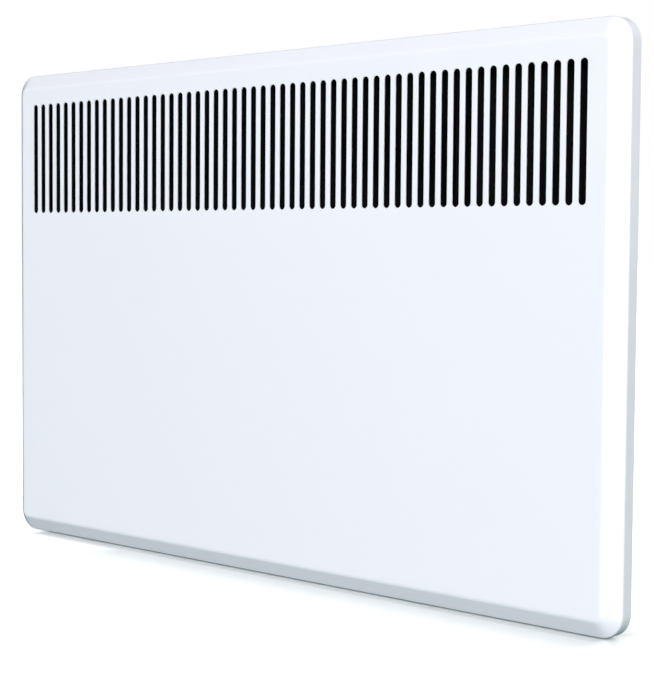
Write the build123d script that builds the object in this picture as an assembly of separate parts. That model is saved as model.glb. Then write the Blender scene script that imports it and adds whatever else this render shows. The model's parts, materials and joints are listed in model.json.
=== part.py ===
# Wall panel convector heater: a slotted steel front panel on a shallow rear casing, hung on a wall bracket.
# Millimetres. X right, Y into the wall, Z up. The origin is the centre of the bracket's four wall screws.
from build123d import *
import os
from math import cos, hypot, pi, radians, sin

# ---------- driving dimensions ----------
panel_width = 640.0
panel_height = 400.0
overall_depth = 85.0  # wall to the panel's face

# front panel, pressed from sheet
panel_sheet = 1.0
bevel_run = 12.0  # bevel measured across the face
bevel_depth = 8.0
return_depth = 10.0
lip_width = 14.0
corner_radius = 17.0
face_bend = 6.0  # outer radius of the bend from face to bevel
edge_bend = 2.0  # outer radius of the bend from bevel to return
slot_pitch = 10.5
slot_width = 6.0
slot_length = 94.0
slot_top_gap = 26.0
slot_side_gap = 31.0  # least gap from the panel's side to the end slot's centre
bend_share = 0.5  # how far the sheet's thickness tightens the edge bend inside
lip_corner_share = 1 / 3
lip_screw_share = 0.62  # panel's side to its screws, as a share of the lip
screw_spread_x = 0.72  # where the outer screws stand along the top and bottom lips
screw_spread_z = 0.6

# rear casing, a folded pan, and the flange that screws it to the panel's lip
casing_sheet = 0.8
casing_side_inset = 40.0
casing_top_inset = 30.0
casing_bottom_inset = 35.0
wall_gap = 20.0  # wall to the casing's back
casing_bend = 3.0
flange_inset = 4.0
vent_width = 5.0
vent_length = 26.0
vent_pitch = 12.0
vent_bottom_gap = 14.0
inlet_strip = 8.5  # floor left in front of the inlet and behind it
inlet_end_gap = 30.0
inlet_guard_gap = 2.0
vent_end_gap = 30.0
hook_slot_spare = 4.0
buffer_round = 2.0

# inner sheet parts
inner_sheet = 0.8
fold_gap = 2.4  # clear of the casing's rounded inner corners
partition_flange_gap = 10.0
partition_screw_top = 40.0
partition_screw_low = 20.0
support_screw_rise = 12.0
cover_overlap = 7.0
cover_duct_gap = 3.0
cover_corner = 3.0
cover_screw_gap = 20.0
guard_wire = 0.9  # radius of the inlet guard's wires
guard_overlap = 4.0
guard_rows = 2
guard_pitch = 60.0
duct_sheet = 0.6
duct_foot_height = 34.0
duct_foot_z = 66.0
duct_bend = 32.0
duct_margin = 8.0  # how far the black duct reaches past the slots
duct_face_gap = 1.5
duct_end_gap = 3.2
duct_partition_gap = 1.0
duct_screw_low = 12.0
duct_screw_high = 6.0
wing_below = 2.0
wing_above = 1.5
shield_sheet = 0.6
shield_gap = 9.2  # heat shield to the casing's back
shield_top_z = 60.0
shield_bottom_gap = 15.0
shield_support_gap = 6.0
shield_partition_gap = 8.0
tab_width = 12.0

# heating element: a hairpin rod with pressed-on plate fins
rod_radius = 4.0
rod_spacing = 30.0
rod_height = 68.0  # casing bottom to the middle of the hairpin
rod_overhang = 4.0  # how far the bend starts beyond the support
pin_gap = 6.0  # partition to the rod's seals
support_inset = 28.0
support_spare = 4.0
fin_gap = 4.5  # fin's edge to the flange's plane and to the heat shield's rear
fin_sheet = 0.6
fin_pitch = 8.0
fin_corner = 3.0
fin_support_gap = 16.0
fin_partition_gap = 20.0
bush_radius = 6.0
bush_flange = 8.0
bush_length = 10.0
bush_behind = 4.0
bush_ahead = 5.0
bush_collar = 2.0
seal_length = 8.0
seal_radius = 4.6
pin_radius = 1.5
pin_length = 14.0

# controls on the casing's top wall
fascia_depth = 36.0
fascia_edge_gap = 4.0  # fascia to the casing's end and to the partition
fascia_thick = 2.5
fascia_corner = 4.0
fascia_rim = 4.0  # fascia edge to its skirt
skirt_wall = 1.6
skirt_height = 18.0
fascia_round = 0.8
knob_radius = 14.0
knob_height = 14.0
knob_gap = 0.8
knob_wall = 2.0
knob_round = 1.6
knob_skirt = 3.0  # smooth band below the flutes
flute_count = 24
flute_radius = 1.0
flute_offset = 0.35
boss_wall = 2.2
boss_rise = 1.0
pointer_half = 0.8
pointer_outer_gap = 2.0
pointer_inner_gap = 3.0
pointer_root = 1.0
spindle_radius = 3.0
spindle_depth = 8.0  # how far it enters the thermostat
spindle_top_gap = 1.5
spindle_clear = 0.4
flat_rise = 3.0
flat_share = 0.6
running_gap = 0.05
fit_gap = 0.2
thermostat_width = 26.0
thermostat_depth = 23.0
thermostat_height = 28.0
thermostat_drop = 4.0  # below the casing's top
thermostat_round = 1.5
neck_wall = 2.0
thermostat_tag_inset = 5.0
heat_tag_reach = 5.0
feed_tag_reach = 7.0
setback_tag_reach = 5.0
switch_width = 12.6
switch_length = 18.8
switch_height = 20.0
bezel_rim = 1.2
bezel_thick = 1.5
bezel_corner = 1.2
bezel_round = 0.5
pocket_floor = 1.5
switch_tag_reach = 5.0
rocker_radius = 8.3
rocker_gap = 0.2
rocker_tilt = 11.0  # degrees either side of level
rocker_wall = 1.0
rocker_foot_angle = 30.0  # degrees below the pivot
rocker_edge_angle = 40.0  # degrees above the pivot
rocker_dip = 3.2
rocker_round = 0.5
pivot_drop = 1.5  # fascia's top to the pivot
pivot_spare = 0.1
pivot_radius = 1.0
pivot_length = 0.7
lens_radius = 2.5
lens_proud = 1.6
lens_depth = 2.0
lens_round = 1.2
lamp_length = 14.0
knob_edge_gap = 7.0
knob_lens_gap = 5.0
lens_switch_gap = 4.5
switch_gap = 3.0
switch_edge_gap = 5.5
tag_width = 4.8
tag_thick = 0.8
tag_length = 7.0
tag_root = 1.0

# cord entry, clamp, terminals
gland_bore = 3.8
gland_thread = 7.5
gland_flange = 11.0
gland_flange_thick = 5.0
gland_length = 20.0
gland_nut_flats = 22.0
gland_nut_thick = 4.5
gland_round = 1.5
clamp_width = 34.0
clamp_height = 10.0
clamp_thick = 3.0
clamp_rise = 10.0  # above the cut-out
clamp_screw_inset = 5.0
clamp_screw_reach = 9.0
clamp_hole_end = 6.0
clamp_round = 2.0
cord_space = 8.0
block_width = 42.0
block_height = 24.0
block_depth = 17.0
block_rise = 9.5  # above the rod's upper leg
block_round = 1.0
pole_pitch = 13.0
pole_bore = 2.0
pole_bore_depth = 6.0
pole_screw = 1.6
pole_screw_inset = 6.0
pole_screw_depth = 5.0
pole_screw_sink = 0.8
cutout_radius = 11.0
cutout_height = 16.0
cutout_rise = 8.2
cutout_round = 1.5
cutout_tag_reach = 5.0
strap_height = 8.0
strap_rise = 3.0
strap_half = 1.0
strap_foot_half = 16.0
button_radius = 2.5
button_travel = 1.5
button_proud = 4.0
button_reach = 2.5  # into the cut-out
button_bore_depth = 6.0
button_round = 0.8
button_collar = 1.2
button_collar_thick = 1.0
bulb_radius = 3.0
bulb_gap = 2.0  # bulb to the rod's seals
bulb_wall_gap = 5.0
bulb_rise = 10.0
bulb_round = 1.5
clip_wall = 1.2
clip_spread = 16.0
clip_half = 2.5
clip_grip = 0.5
bulb_length = 62.0
capillary_radius = 0.8
capillary_inset = 4.0
capillary_rear = 6.0
capillary_drop = 30.0
capillary_lead_in = 24.0
capillary_bend = 18.0
capillary_end_bend = 16.0
stud_radius = 2.0
stud_length = 12.0
stud_base = 2.0
stud_rise = 28.0  # above the rod's upper leg
washer_radius = 4.2
washer_thick = 0.8
earth_nut_half = 3.5
earth_nut_thick = 3.2
tongue_half = 2.0
tongue_length = 9.0
barrel_wall = 0.6
barrel_length = 5.0
ring_reach = 13.0  # stud to the end of the ring terminal's barrel
gland_inset = 36.0  # casing's end to the gland
cutout_inset = 31.0  # partition to the cut-out
stud_inset = 21.0  # partition to the earth stud

# leads
lead_radius = 1.1
lead_tail = 12.0  # straight run at a tag
lead_hop = 16.0  # rise above the terminal block before a turn
lead_slack = 3.0
lead_front = 11.0  # how far in front of the rod leads pass
lead_tight = 5.0
lead_turn = 7.0
lead_easy = 10.0
lead_sweep = 60.0
live_heights = (0.15, 0.45, 0.75, 0.9)  # turns of the live lead, as shares of its rise
live_bends = (0.6, 1.0, 1.0, 0.5)
setback_loop = 1.5
setback_end = 0.8
earth_hops = (2.0, 3.0, 2.5)

# wall bracket and buffers
bracket_sheet = 2.0
arm_width = 36.0
arm_inset = 170.0  # panel's side to the arm's screws
arm_top = 96.0
arm_bottom = -122.0
bolt_rows = 140.0
bolt_radius = 2.75
arm_corner = 5.0
bar_height = 40.0
bar_flange = 8.0
bar_overlap = 12.0
hook_height = 14.0
hook_nose = 8.0
hook_nose_thick = 4.8
hook_nose_slope = 3.0
hook_tip = 2.4
hook_heel = 4.0
hook_slack = 1.4
hook_side_gap = 1.5
hook_top_z = 45.0
hook_bottom_z = -95.0
lift_travel = 10.0
buffer_radius = 9.0
buffer_inset = 45.0
buffer_height = 25.0

# screws
screw_radius = 2.0
screw_head = 3.8
screw_head_thick = 2.4
screw_length = 7.0
screw_bite = 5.0
screw_crown = 0.45  # rounding of a head, as a share of its thickness
small_screw_radius = 1.5
small_screw_head = 2.8
small_head_thick = 1.6
small_screw_bite = 3.0
contact_gap = 0.05
overcut = 1.0  # how far a cutter runs past what it cuts
edge_tolerance = 0.01

# ---------- planes worked out from them ----------
face_y = -overall_depth
panel_rear_y = face_y + bevel_depth + return_depth
panel_right = panel_width / 2
panel_top = panel_height / 2
face_in_y = face_y + panel_sheet
slot_top_z = panel_top - slot_top_gap
slot_bottom_z = slot_top_z - slot_length
slot_count = int((panel_width - 2 * slot_side_gap) / slot_pitch) + 1
slot_edge_x = (slot_count - 1) * slot_pitch / 2 + slot_width / 2

casing_right = panel_right - casing_side_inset
casing_left = -casing_right
casing_top = panel_top - casing_top_inset
casing_bottom = casing_bottom_inset - panel_top
casing_back_y = -wall_gap
inside_right = casing_right - casing_sheet
inside_left = -inside_right
inside_top = casing_top - casing_sheet
inside_bottom = casing_bottom + casing_sheet
inside_back_y = casing_back_y - casing_sheet
flange_back_y = panel_rear_y + casing_sheet
casing_mid_y = (panel_rear_y + casing_back_y) / 2

bezel_half = switch_width / 2 + bezel_rim
fascia_contents = (
    knob_edge_gap, 2 * knob_radius, knob_lens_gap, 2 * lens_radius, lens_switch_gap,
    2 * bezel_half, switch_gap, 2 * bezel_half, switch_edge_gap,
)
fascia_width = sum(fascia_contents)
partition_x = casing_right - fascia_width - 2 * fascia_edge_gap
partition_right = partition_x + inner_sheet
element_room = inside_back_y - shield_gap - panel_rear_y
fin_depth = element_room - 2 * fin_gap
fin_height = 2 * rod_spacing
rod_y = panel_rear_y + element_room / 2
rod_z = casing_bottom + rod_height
rod_rows = (rod_z - rod_spacing / 2, rod_z + rod_spacing / 2)
support_x = inside_left + support_inset
inlet_left = casing_left + inlet_end_gap
inlet_right = partition_x - guard_overlap - inlet_guard_gap
inlet_front = panel_rear_y + inlet_strip
inlet_rear = casing_back_y - inlet_strip
pin_start_x = partition_right + pin_gap
pin_end_x = pin_start_x + seal_length + pin_length

fascia_x = casing_right - fascia_edge_gap - fascia_width / 2
fascia_y = casing_mid_y
fascia_top_z = casing_top + fascia_thick
knob_x = fascia_x - fascia_width / 2 + knob_edge_gap + knob_radius
lens_x = knob_x + knob_radius + knob_lens_gap + lens_radius
power_x = lens_x + lens_radius + lens_switch_gap + bezel_half
economy_x = power_x + 2 * bezel_half + switch_gap
switch_xs = {"power": power_x, "economy": economy_x}
pivot_z = fascia_top_z - pivot_drop
switch_floor_z = fascia_top_z - switch_height
thermostat_top = casing_top - thermostat_drop
thermostat_floor = thermostat_top - thermostat_height

gland_x = casing_right - gland_inset
cutout_x = partition_x + cutout_inset
cutout_floor = inside_bottom + cutout_rise
cutout_top = cutout_floor + cutout_height
block_x = gland_x
block_z = rod_rows[1] + block_rise
block_top = block_z + block_height
pole_y = inside_back_y - block_depth / 2
clamp_z = cutout_top + clamp_rise
stud_x = partition_x + stud_inset
stud_z = rod_rows[1] + stud_rise
bulb_x = partition_right + bulb_radius + bulb_wall_gap
bulb_y = rod_y - seal_radius - bulb_gap - bulb_radius
bulb_z = rod_z + bulb_rise
arm_spacing = panel_width - 2 * arm_inset
hook_rows = (hook_top_z, hook_bottom_z)
duct_tip = (face_in_y + duct_face_gap, slot_top_z + duct_margin)
wing_low = slot_bottom_z - duct_margin - wing_below
wing_high = slot_top_z + duct_margin + wing_above


# ---------- small helpers ----------
def block(x0, x1, y0, y1, z0, z1):
    """A box between two corners."""
    size = (abs(x1 - x0), abs(y1 - y0), abs(z1 - z0))
    return Pos((x0 + x1) / 2, (y0 + y1) / 2, (z0 + z1) / 2) * Box(*size)


def rod(radius, start, end):
    """A cylinder from one point to another."""
    line = Vector(*end) - Vector(*start)
    return Solid.make_cylinder(radius, line.length, Plane(origin=start, z_dir=line))


def post(radius, x, y, z_low, z_high):
    """An upright cylinder."""
    return rod(radius, (x, y, z_low), (x, y, z_high))


def peg(radius, x, z, y_front, y_rear):
    """A cylinder square to the wall."""
    return rod(radius, (x, y_front, z), (x, y_rear, z))


def crossbar(radius, y, z, x_left, x_right):
    """A cylinder along the heater's width."""
    return rod(radius, (x_left, y, z), (x_right, y, z))


def wall_sketch(y):
    """The plane parallel to the wall at this y, with its normal towards the room."""
    return Plane.XZ.offset(-y)


def rounded_slab(width, height, corner, y_front, y_rear, z_mid=0.0):
    """A plate parallel to the wall with rounded corners."""
    outline = wall_sketch(y_rear) * Pos(0, z_mid) * RectangleRounded(width, height, corner)
    return extrude(outline, y_rear - y_front)


def upright_slots(count, pitch, width, length, x_mid, z_mid, y_front, y_rear):
    """A row of round-ended vertical slots, as one cutter."""
    first = x_mid - (count - 1) * pitch / 2
    outline = wall_sketch(y_rear) * Pos(0, z_mid) * SlotOverall(length, width, rotation=90)
    slot = extrude(outline, y_rear - y_front)
    return [Pos(first + i * pitch, 0, 0) * slot for i in range(count)]


def wall_holes(radius, places, y_front, y_rear):
    """Round holes through sheets parallel to the wall, as a list of cutters."""
    return [peg(radius, x, z, y_front - overcut, y_rear + overcut) for x, z in places]


def floor_hole(radius, x, y, z_low, z_high):
    """A round hole through a level sheet."""
    return post(radius, x, y, z_low - overcut, z_high + overcut)


def screw(at, towards, radius, head_radius, head_thick, length):
    """A pan-head screw: its head seats at the point and its shank runs along the direction."""
    seat = Vector(*at)
    way = Vector(*towards)
    head = rod(head_radius, seat - way * head_thick, seat)
    crown = head.faces().sort_by(lambda f: (f.center() - seat).dot(way))[0]
    head = fillet(crown.edges(), head_thick * screw_crown)
    return head + rod(radius, seat, seat + way * length)


def lead(points, radii, radius=lead_radius):
    """A wire along straight runs joined by arcs."""
    path = FilletPolyline(*points, radius=radii)
    start = Vector(*points[0])
    way = Vector(*points[1]) - start
    section = Plane(origin=start, z_dir=way) * Circle(radius)
    return sweep(section, path=path)


# ---------- front panel ----------
def bevel_inside(run, depth, sheet):
    """The bevel's run and depth on the inner skin, one sheet behind the outer one."""
    slant = hypot(run, depth)
    spare = sheet * (slant - run - depth)
    return run + spare / depth, depth + spare / run


def panel_skin(inset):
    """The filled pan inside the panel's skin at this depth below its outer surface."""
    width = panel_width - 2 * inset
    height = panel_height - 2 * inset
    body = rounded_slab(width, height, corner_radius - inset, face_y + inset, panel_rear_y)
    run, depth = bevel_inside(bevel_run, bevel_depth, inset)
    front = body.faces().sort_by(Axis.Y)[0]
    body = chamfer(front.edges(), run, depth, reference=front)
    front = body.faces().sort_by(Axis.Y)[0]
    body = fillet(front.edges(), face_bend - inset)
    rim_y = face_y + inset + depth
    rim = body.edges().filter_by_position(Axis.Y, rim_y - edge_tolerance, rim_y + edge_tolerance)
    return fillet(rim, edge_bend - inset * bend_share)


def front_panel():
    """Pressed front with a bevelled rim, a return, a rear lip and one row of outlet slots."""
    outer = panel_skin(0.0)
    inner = panel_skin(panel_sheet)
    lip_hole = rounded_slab(
        panel_width - 2 * lip_width,
        panel_height - 2 * lip_width,
        corner_radius * lip_corner_share,
        panel_rear_y - 2 * panel_sheet,
        panel_rear_y,
    )
    keep_lip = rounded_slab(
        panel_width, panel_height, corner_radius, panel_rear_y - panel_sheet, panel_rear_y
    )
    shell = outer - (inner - (keep_lip - lip_hole))
    slot_mid = (slot_top_z + slot_bottom_z) / 2
    shell -= upright_slots(
        slot_count, slot_pitch, slot_width, slot_length, 0, slot_mid,
        face_y - overcut, face_in_y + overcut,
    )
    shell -= wall_holes(screw_radius, panel_screw_places(), panel_rear_y - panel_sheet, panel_rear_y)
    return shell


def panel_screw_places():
    """Screws that hold the flange to the panel's lip."""
    x_side = panel_right - lip_width * lip_screw_share
    z_side = panel_top - lip_width * lip_screw_share
    across = [x_side * t for t in (-screw_spread_x, 0.0, screw_spread_x)]
    up = [z_side * t for t in (-screw_spread_z, screw_spread_z)]
    rows = [(x, s * z_side) for x in across for s in (-1, 1)]
    return rows + [(s * x_side, z) for z in up for s in (-1, 1)]


def panel_screws():
    """Screws through the flange into the panel's lip, driven from behind."""
    return [
        screw((x, flange_back_y, z), (0, -1, 0), screw_radius, screw_head, screw_head_thick, screw_length)
        for x, z in panel_screw_places()
    ]


# ---------- rear casing ----------
def casing_screw_places():
    """Screws through the casing's back into the partition and the element's support."""
    high = inside_top - partition_screw_top
    low = inside_bottom + partition_screw_low
    foot = tab_width / 2
    return [
        (partition_right + foot, high),
        (partition_right + foot, low),
        (support_x - foot, rod_z + support_screw_rise),
        (support_x - foot, rod_z - support_screw_rise),
    ]


def rear_casing():
    """Folded steel pan with an open inlet, back vents, hook slots and control openings."""
    outer = block(casing_left, casing_right, panel_rear_y, casing_back_y, casing_bottom, casing_top)
    back_edges = outer.faces().sort_by(Axis.Y)[-1].edges()
    outer = fillet(back_edges + outer.edges().filter_by(Axis.Y), casing_bend)
    inner = block(inside_left, inside_right, panel_rear_y, inside_back_y, inside_bottom, inside_top)
    inner_edges = inner.faces().sort_by(Axis.Y)[-1].edges()
    inner = fillet(inner_edges + inner.edges().filter_by(Axis.Y), casing_bend - casing_sheet)
    shell = outer - inner
    shell -= block(
        inlet_left,
        inlet_right,
        inlet_front,
        inlet_rear,
        casing_bottom - overcut,
        inside_bottom + overcut,
    )
    shell -= casing_openings()
    return shell


def casing_flange():
    """Flat frame welded round the casing's mouth and screwed to the panel's lip."""
    frame = rounded_slab(
        panel_width - 2 * flange_inset,
        panel_height - 2 * flange_inset,
        corner_radius - flange_inset,
        panel_rear_y,
        flange_back_y,
    )
    mouth = block(
        casing_left, casing_right, panel_rear_y - overcut, flange_back_y + overcut, casing_bottom, casing_top
    )
    frame -= fillet(mouth.edges().filter_by(Axis.Y), casing_bend)
    frame -= wall_holes(screw_radius, panel_screw_places(), panel_rear_y, flange_back_y)
    small = cover_screw_places() + duct_screw_places()
    frame -= wall_holes(small_screw_radius, small, panel_rear_y, flange_back_y)
    return frame


def casing_openings():
    """Every hole through the casing except the air inlet."""
    cuts = []
    vent_z = casing_bottom + vent_bottom_gap + vent_length / 2
    vent_count = int((partition_x - casing_left - 2 * vent_end_gap) / vent_pitch)
    vent_mid = (partition_x + casing_left) / 2
    cuts += upright_slots(
        vent_count, vent_pitch, vent_width, vent_length, vent_mid, vent_z,
        inside_back_y - overcut, casing_back_y + overcut,
    )
    slot_x = bracket_sheet / 2 + hook_side_gap
    for x in hook_xs():
        for z in hook_rows:
            low = z - hook_height - lift_travel - hook_slot_spare
            cuts.append(
                block(
                    x - slot_x, x + slot_x, inside_back_y - overcut, casing_back_y + overcut,
                    low, z + contact_gap,
                )
            )
    skirt_x = fascia_width / 2 - fascia_rim
    skirt_y = fascia_depth / 2 - fascia_rim
    cuts.append(
        block(
            fascia_x - skirt_x, fascia_x + skirt_x, fascia_y - skirt_y, fascia_y + skirt_y,
            inside_top - overcut, casing_top + overcut,
        )
    )
    button_hole = button_radius + 2 * running_gap
    cuts.append(floor_hole(gland_thread, gland_x, casing_mid_y, casing_bottom, inside_bottom))
    cuts.append(floor_hole(button_hole, cutout_x, casing_mid_y, casing_bottom, inside_bottom))
    cuts += wall_holes(screw_radius, casing_screw_places(), inside_back_y, casing_back_y)
    return cuts


def casing_screws():
    """Screws from behind that hold the partition and the element's support."""
    return [
        screw(
            (x, casing_back_y, z), (0, -1, 0), screw_radius, screw_head, screw_head_thick,
            casing_sheet + screw_bite,
        )
        for x, z in casing_screw_places()
    ]


def wall_buffers():
    """Rubber buffers that keep the casing's foot off the wall."""
    z = casing_bottom + buffer_height
    shapes = []
    for side in (-1, 1):
        x = side * (casing_right - buffer_inset)
        stem = peg(buffer_radius, x, z, casing_back_y, 0)
        shapes.append(fillet(stem.faces().sort_by(Axis.Y)[-1].edges(), buffer_round))
    return shapes


def inlet_guard():
    """Wire guard on the casing's floor: short wires across the air inlet carry the long ones."""
    cross_z = inside_bottom + guard_wire
    long_z = cross_z + 2 * guard_wire
    first = inlet_left - guard_overlap / 2
    last = inlet_right + guard_overlap / 2
    spans = int((last - first) / guard_pitch)
    cross_xs = [first + (last - first) * i / spans for i in range(spans + 1)]
    front = inlet_front - guard_overlap
    rear = inlet_rear + guard_overlap
    wires = [rod(guard_wire, (x, front, cross_z), (x, rear, cross_z)) for x in cross_xs]
    step = (inlet_rear - inlet_front) / (guard_rows + 1)
    long_ys = [inlet_front + step * (i + 1) for i in range(guard_rows)]
    left = inlet_left - guard_overlap
    right = inlet_right + guard_overlap
    return wires + [crossbar(guard_wire, y, long_z, left, right) for y in long_ys]


# ---------- inner sheet parts ----------
def partition():
    """Upright sheet between the hot duct and the wiring compartment."""
    sheet = block(
        partition_x, partition_right, panel_rear_y, inside_back_y,
        inside_bottom + fold_gap, inside_top - fold_gap,
    )
    foot = block(
        partition_x, partition_right + tab_width, inside_back_y - inner_sheet, inside_back_y,
        inside_bottom + fold_gap, inside_top - fold_gap,
    )
    front = block(
        partition_x - tab_width, partition_right, panel_rear_y, flange_back_y,
        inside_bottom + fold_gap, duct_foot_z - partition_flange_gap,
    )
    sheet = sheet + foot + front
    start = partition_x - overcut
    end = partition_right + overcut
    sheet -= [crossbar(bush_radius, rod_y, z, start, end) for z in rod_rows]
    sheet -= wall_holes(screw_radius, casing_screw_places()[:2], inside_back_y - inner_sheet, inside_back_y)
    return sheet


def wiring_cover():
    """Plate that closes the front of the wiring compartment below the duct's wing."""
    cover = block(
        partition_x - tab_width, casing_right + tab_width, panel_rear_y - inner_sheet, panel_rear_y,
        casing_bottom - cover_overlap, slot_bottom_z - duct_margin - cover_duct_gap,
    )
    cover = fillet(cover.edges().filter_by(Axis.Y), cover_corner)
    cover -= wall_holes(small_screw_radius, cover_screw_places(), panel_rear_y - inner_sheet, panel_rear_y)
    return cover


def cover_screw_places():
    """Screws that hold the wiring cover to the casing's flange."""
    x = casing_right + tab_width / 2
    low = casing_bottom + cover_screw_gap
    return [(x, low), (x, slot_bottom_z - duct_margin - cover_screw_gap)]


def duct_screw_places():
    """Screws that hold the outlet duct's wings to the casing's flange."""
    x = casing_right + tab_width / 2
    z_low = slot_bottom_z + duct_screw_low
    z_high = slot_top_z - duct_screw_high
    return [(s * x, z) for s in (-1, 1) for z in (z_low, z_high)]


def front_screws():
    """Small screws through the wiring cover and the duct's wings into the flange."""
    seats = [(x, z, inner_sheet) for x, z in cover_screw_places()]
    seats += [(x, z, duct_sheet) for x, z in duct_screw_places()]
    return [
        screw(
            (x, panel_rear_y - thick, z), (0, 1, 0), small_screw_radius, small_screw_head,
            small_head_thick, thick + casing_sheet + small_screw_bite,
        )
        for x, z, thick in seats
    ]


def duct_path():
    """Side view of the duct's curved back, from its foot to the tip under the panel's top edge."""
    back = inside_back_y - duct_sheet / 2
    foot = (back, duct_foot_z)
    bend = (back, duct_foot_z + duct_foot_height)
    return FilletPolyline(foot, bend, duct_tip, radius=duct_bend), foot


def duct_cheek(x):
    """Upright side plate that closes the room in front of the curved back."""
    path, foot = duct_path()
    room = Plane.YZ * make_face(path + Polyline(duct_tip, (duct_tip[0], duct_foot_z), foot))
    plate = Pos(x, 0, 0) * extrude(room, duct_sheet)
    below = block(
        x - overcut, x + duct_sheet + overcut, face_y, inside_back_y + overcut,
        duct_foot_z - overcut, wing_low,
    )
    return plate - below


def duct_tray(x_outer, x_inner):
    """Shallow tray behind the slots beyond the duct's end: wing, outer cheek, top and bottom strips."""
    front = duct_tip[0]
    wing_front = panel_rear_y - duct_sheet
    cheek_x = x_outer - duct_sheet if x_outer > x_inner else x_outer + duct_sheet
    return [
        block(x_outer, x_inner, wing_front, panel_rear_y, wing_low, wing_high),
        block(x_outer, cheek_x, front, panel_rear_y, wing_low, wing_high),
        block(x_outer, x_inner, front, panel_rear_y, wing_high - duct_sheet, wing_high),
        block(x_outer, x_inner, front, panel_rear_y, wing_low, wing_low + duct_sheet),
    ]


def outlet_duct():
    """Black sheet behind the slots: a curved back that turns the warm air forward, cheeks and end trays."""
    left = inside_left + duct_end_gap
    right = partition_x - duct_partition_gap
    profile = Plane.YZ * trace(duct_path()[0], line_width=duct_sheet)
    sheet = Pos(left, 0, 0) * extrude(profile, right - left)
    wing_x = slot_edge_x + duct_margin
    front, top = duct_tip
    pieces = [
        block(right - duct_sheet, right, front, panel_rear_y, wing_low, wing_high),
        block(left, left + duct_sheet, front, panel_rear_y, wing_low, wing_high),
        block(left, right, front - duct_sheet, front + duct_sheet / 2, top, wing_high),
        duct_cheek(left),
        duct_cheek(right - duct_sheet),
    ]
    pieces += duct_tray(-wing_x, left + duct_sheet) + duct_tray(wing_x, right - duct_sheet)
    duct = sheet + pieces
    duct -= wall_holes(small_screw_radius, duct_screw_places(), panel_rear_y - duct_sheet, panel_rear_y)
    return duct


def heat_shield():
    """Bright sheet between the element and the casing's back, on two end flanges."""
    left = support_x + shield_support_gap
    right = partition_x - shield_partition_gap
    front = inside_back_y - shield_gap
    low = inside_bottom + shield_bottom_gap
    sheet = block(left, right, front - shield_sheet, front, low, shield_top_z)
    ends = [
        block(x, x + shield_sheet, front, inside_back_y, low, shield_top_z)
        for x in (left, right - shield_sheet)
    ]
    return sheet + ends


# ---------- heating element ----------
def heater_rod():
    """Sheathed hairpin rod."""
    low, high = rod_rows
    bend_x = support_x - rod_overhang
    straight = [crossbar(rod_radius, rod_y, z, bend_x, pin_start_x) for z in (low, high)]
    ring = Plane(origin=(bend_x, rod_y, low), z_dir=(1, 0, 0)) * Circle(rod_radius)
    hinge = Axis((bend_x, rod_y, rod_z), (0, 1, 0))
    bend = revolve(ring, axis=hinge, revolution_arc=180)
    if bend.center().X > bend_x:
        bend = revolve(ring, axis=hinge, revolution_arc=-180)
    return straight[0] + straight[1] + bend


def heating_fins():
    """Plate fins pressed on the rod's two legs."""
    first = support_x + fin_support_gap
    last = partition_x - fin_partition_gap
    count = int((last - first) / fin_pitch) + 1
    plate = Plane.YZ * Pos(rod_y, rod_z) * RectangleRounded(fin_depth, fin_height, fin_corner)
    fin = extrude(plate, fin_sheet)
    fin -= [crossbar(rod_radius, rod_y, z, -overcut, fin_sheet + overcut) for z in rod_rows]
    return [Pos(first + i * fin_pitch, 0, 0) * fin for i in range(count)]


def element_support():
    """Bracket on the casing's back that carries the hairpin's bent end."""
    tall = fin_height + support_spare
    plate = block(
        support_x - inner_sheet, support_x, rod_y - fin_depth / 2, inside_back_y,
        rod_z - tall / 2, rod_z + tall / 2,
    )
    foot = block(
        support_x - tab_width, support_x, inside_back_y - inner_sheet, inside_back_y,
        rod_z - tall / 2, rod_z + tall / 2,
    )
    support = plate + foot
    start = support_x - inner_sheet - overcut
    support -= [crossbar(bush_radius, rod_y, z, start, support_x + overcut) for z in rod_rows]
    places = casing_screw_places()[2:]
    support -= wall_holes(screw_radius, places, inside_back_y - inner_sheet, inside_back_y)
    return support


def ceramic_bushes():
    """White ceramic bushes that insulate the rod from its supports."""
    bushes = []
    for face_x in (support_x, partition_right):
        for z in rod_rows:
            barrel = crossbar(bush_radius, rod_y, z, face_x - bush_behind, face_x + bush_ahead)
            collar = crossbar(bush_flange, rod_y, z, face_x, face_x + bush_collar)
            bore = crossbar(rod_radius, rod_y, z, face_x - bush_length, face_x + bush_length)
            bushes.append(barrel + collar - bore)
    return bushes


def rod_seals():
    """Ceramic seals on the rod's two ends."""
    end = pin_start_x + seal_length
    return [
        crossbar(seal_radius, rod_y, z, pin_start_x, end)
        - crossbar(pin_radius, rod_y, z, pin_start_x - overcut, end + overcut)
        for z in rod_rows
    ]


def rod_pins():
    """Terminal pins of the hairpin."""
    return [crossbar(pin_radius, rod_y, z, pin_start_x, pin_end_x) for z in rod_rows]


# ---------- overheat cut-out ----------
def cutout_body():
    """Overheat cut-out above the casing's floor, with a bore for its reset button and two tags."""
    body = post(cutout_radius, cutout_x, casing_mid_y, cutout_floor, cutout_top)
    body = fillet(body.edges().group_by(Axis.Z)[-1], cutout_round)
    bore = button_radius + 2 * running_gap
    body -= post(bore, cutout_x, casing_mid_y, cutout_floor - overcut, cutout_floor + button_bore_depth)
    tags = [
        block(
            x - tag_width / 2, x + tag_width / 2, casing_mid_y - tag_thick / 2, casing_mid_y + tag_thick / 2,
            cutout_top - tag_root, cutout_top + tag_length,
        )
        for x in cutout_tag_xs()
    ]
    return body + tags


def cutout_tag_xs():
    """Middles of the cut-out's two tags."""
    return (cutout_x - cutout_tag_reach, cutout_x + cutout_tag_reach)


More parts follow.
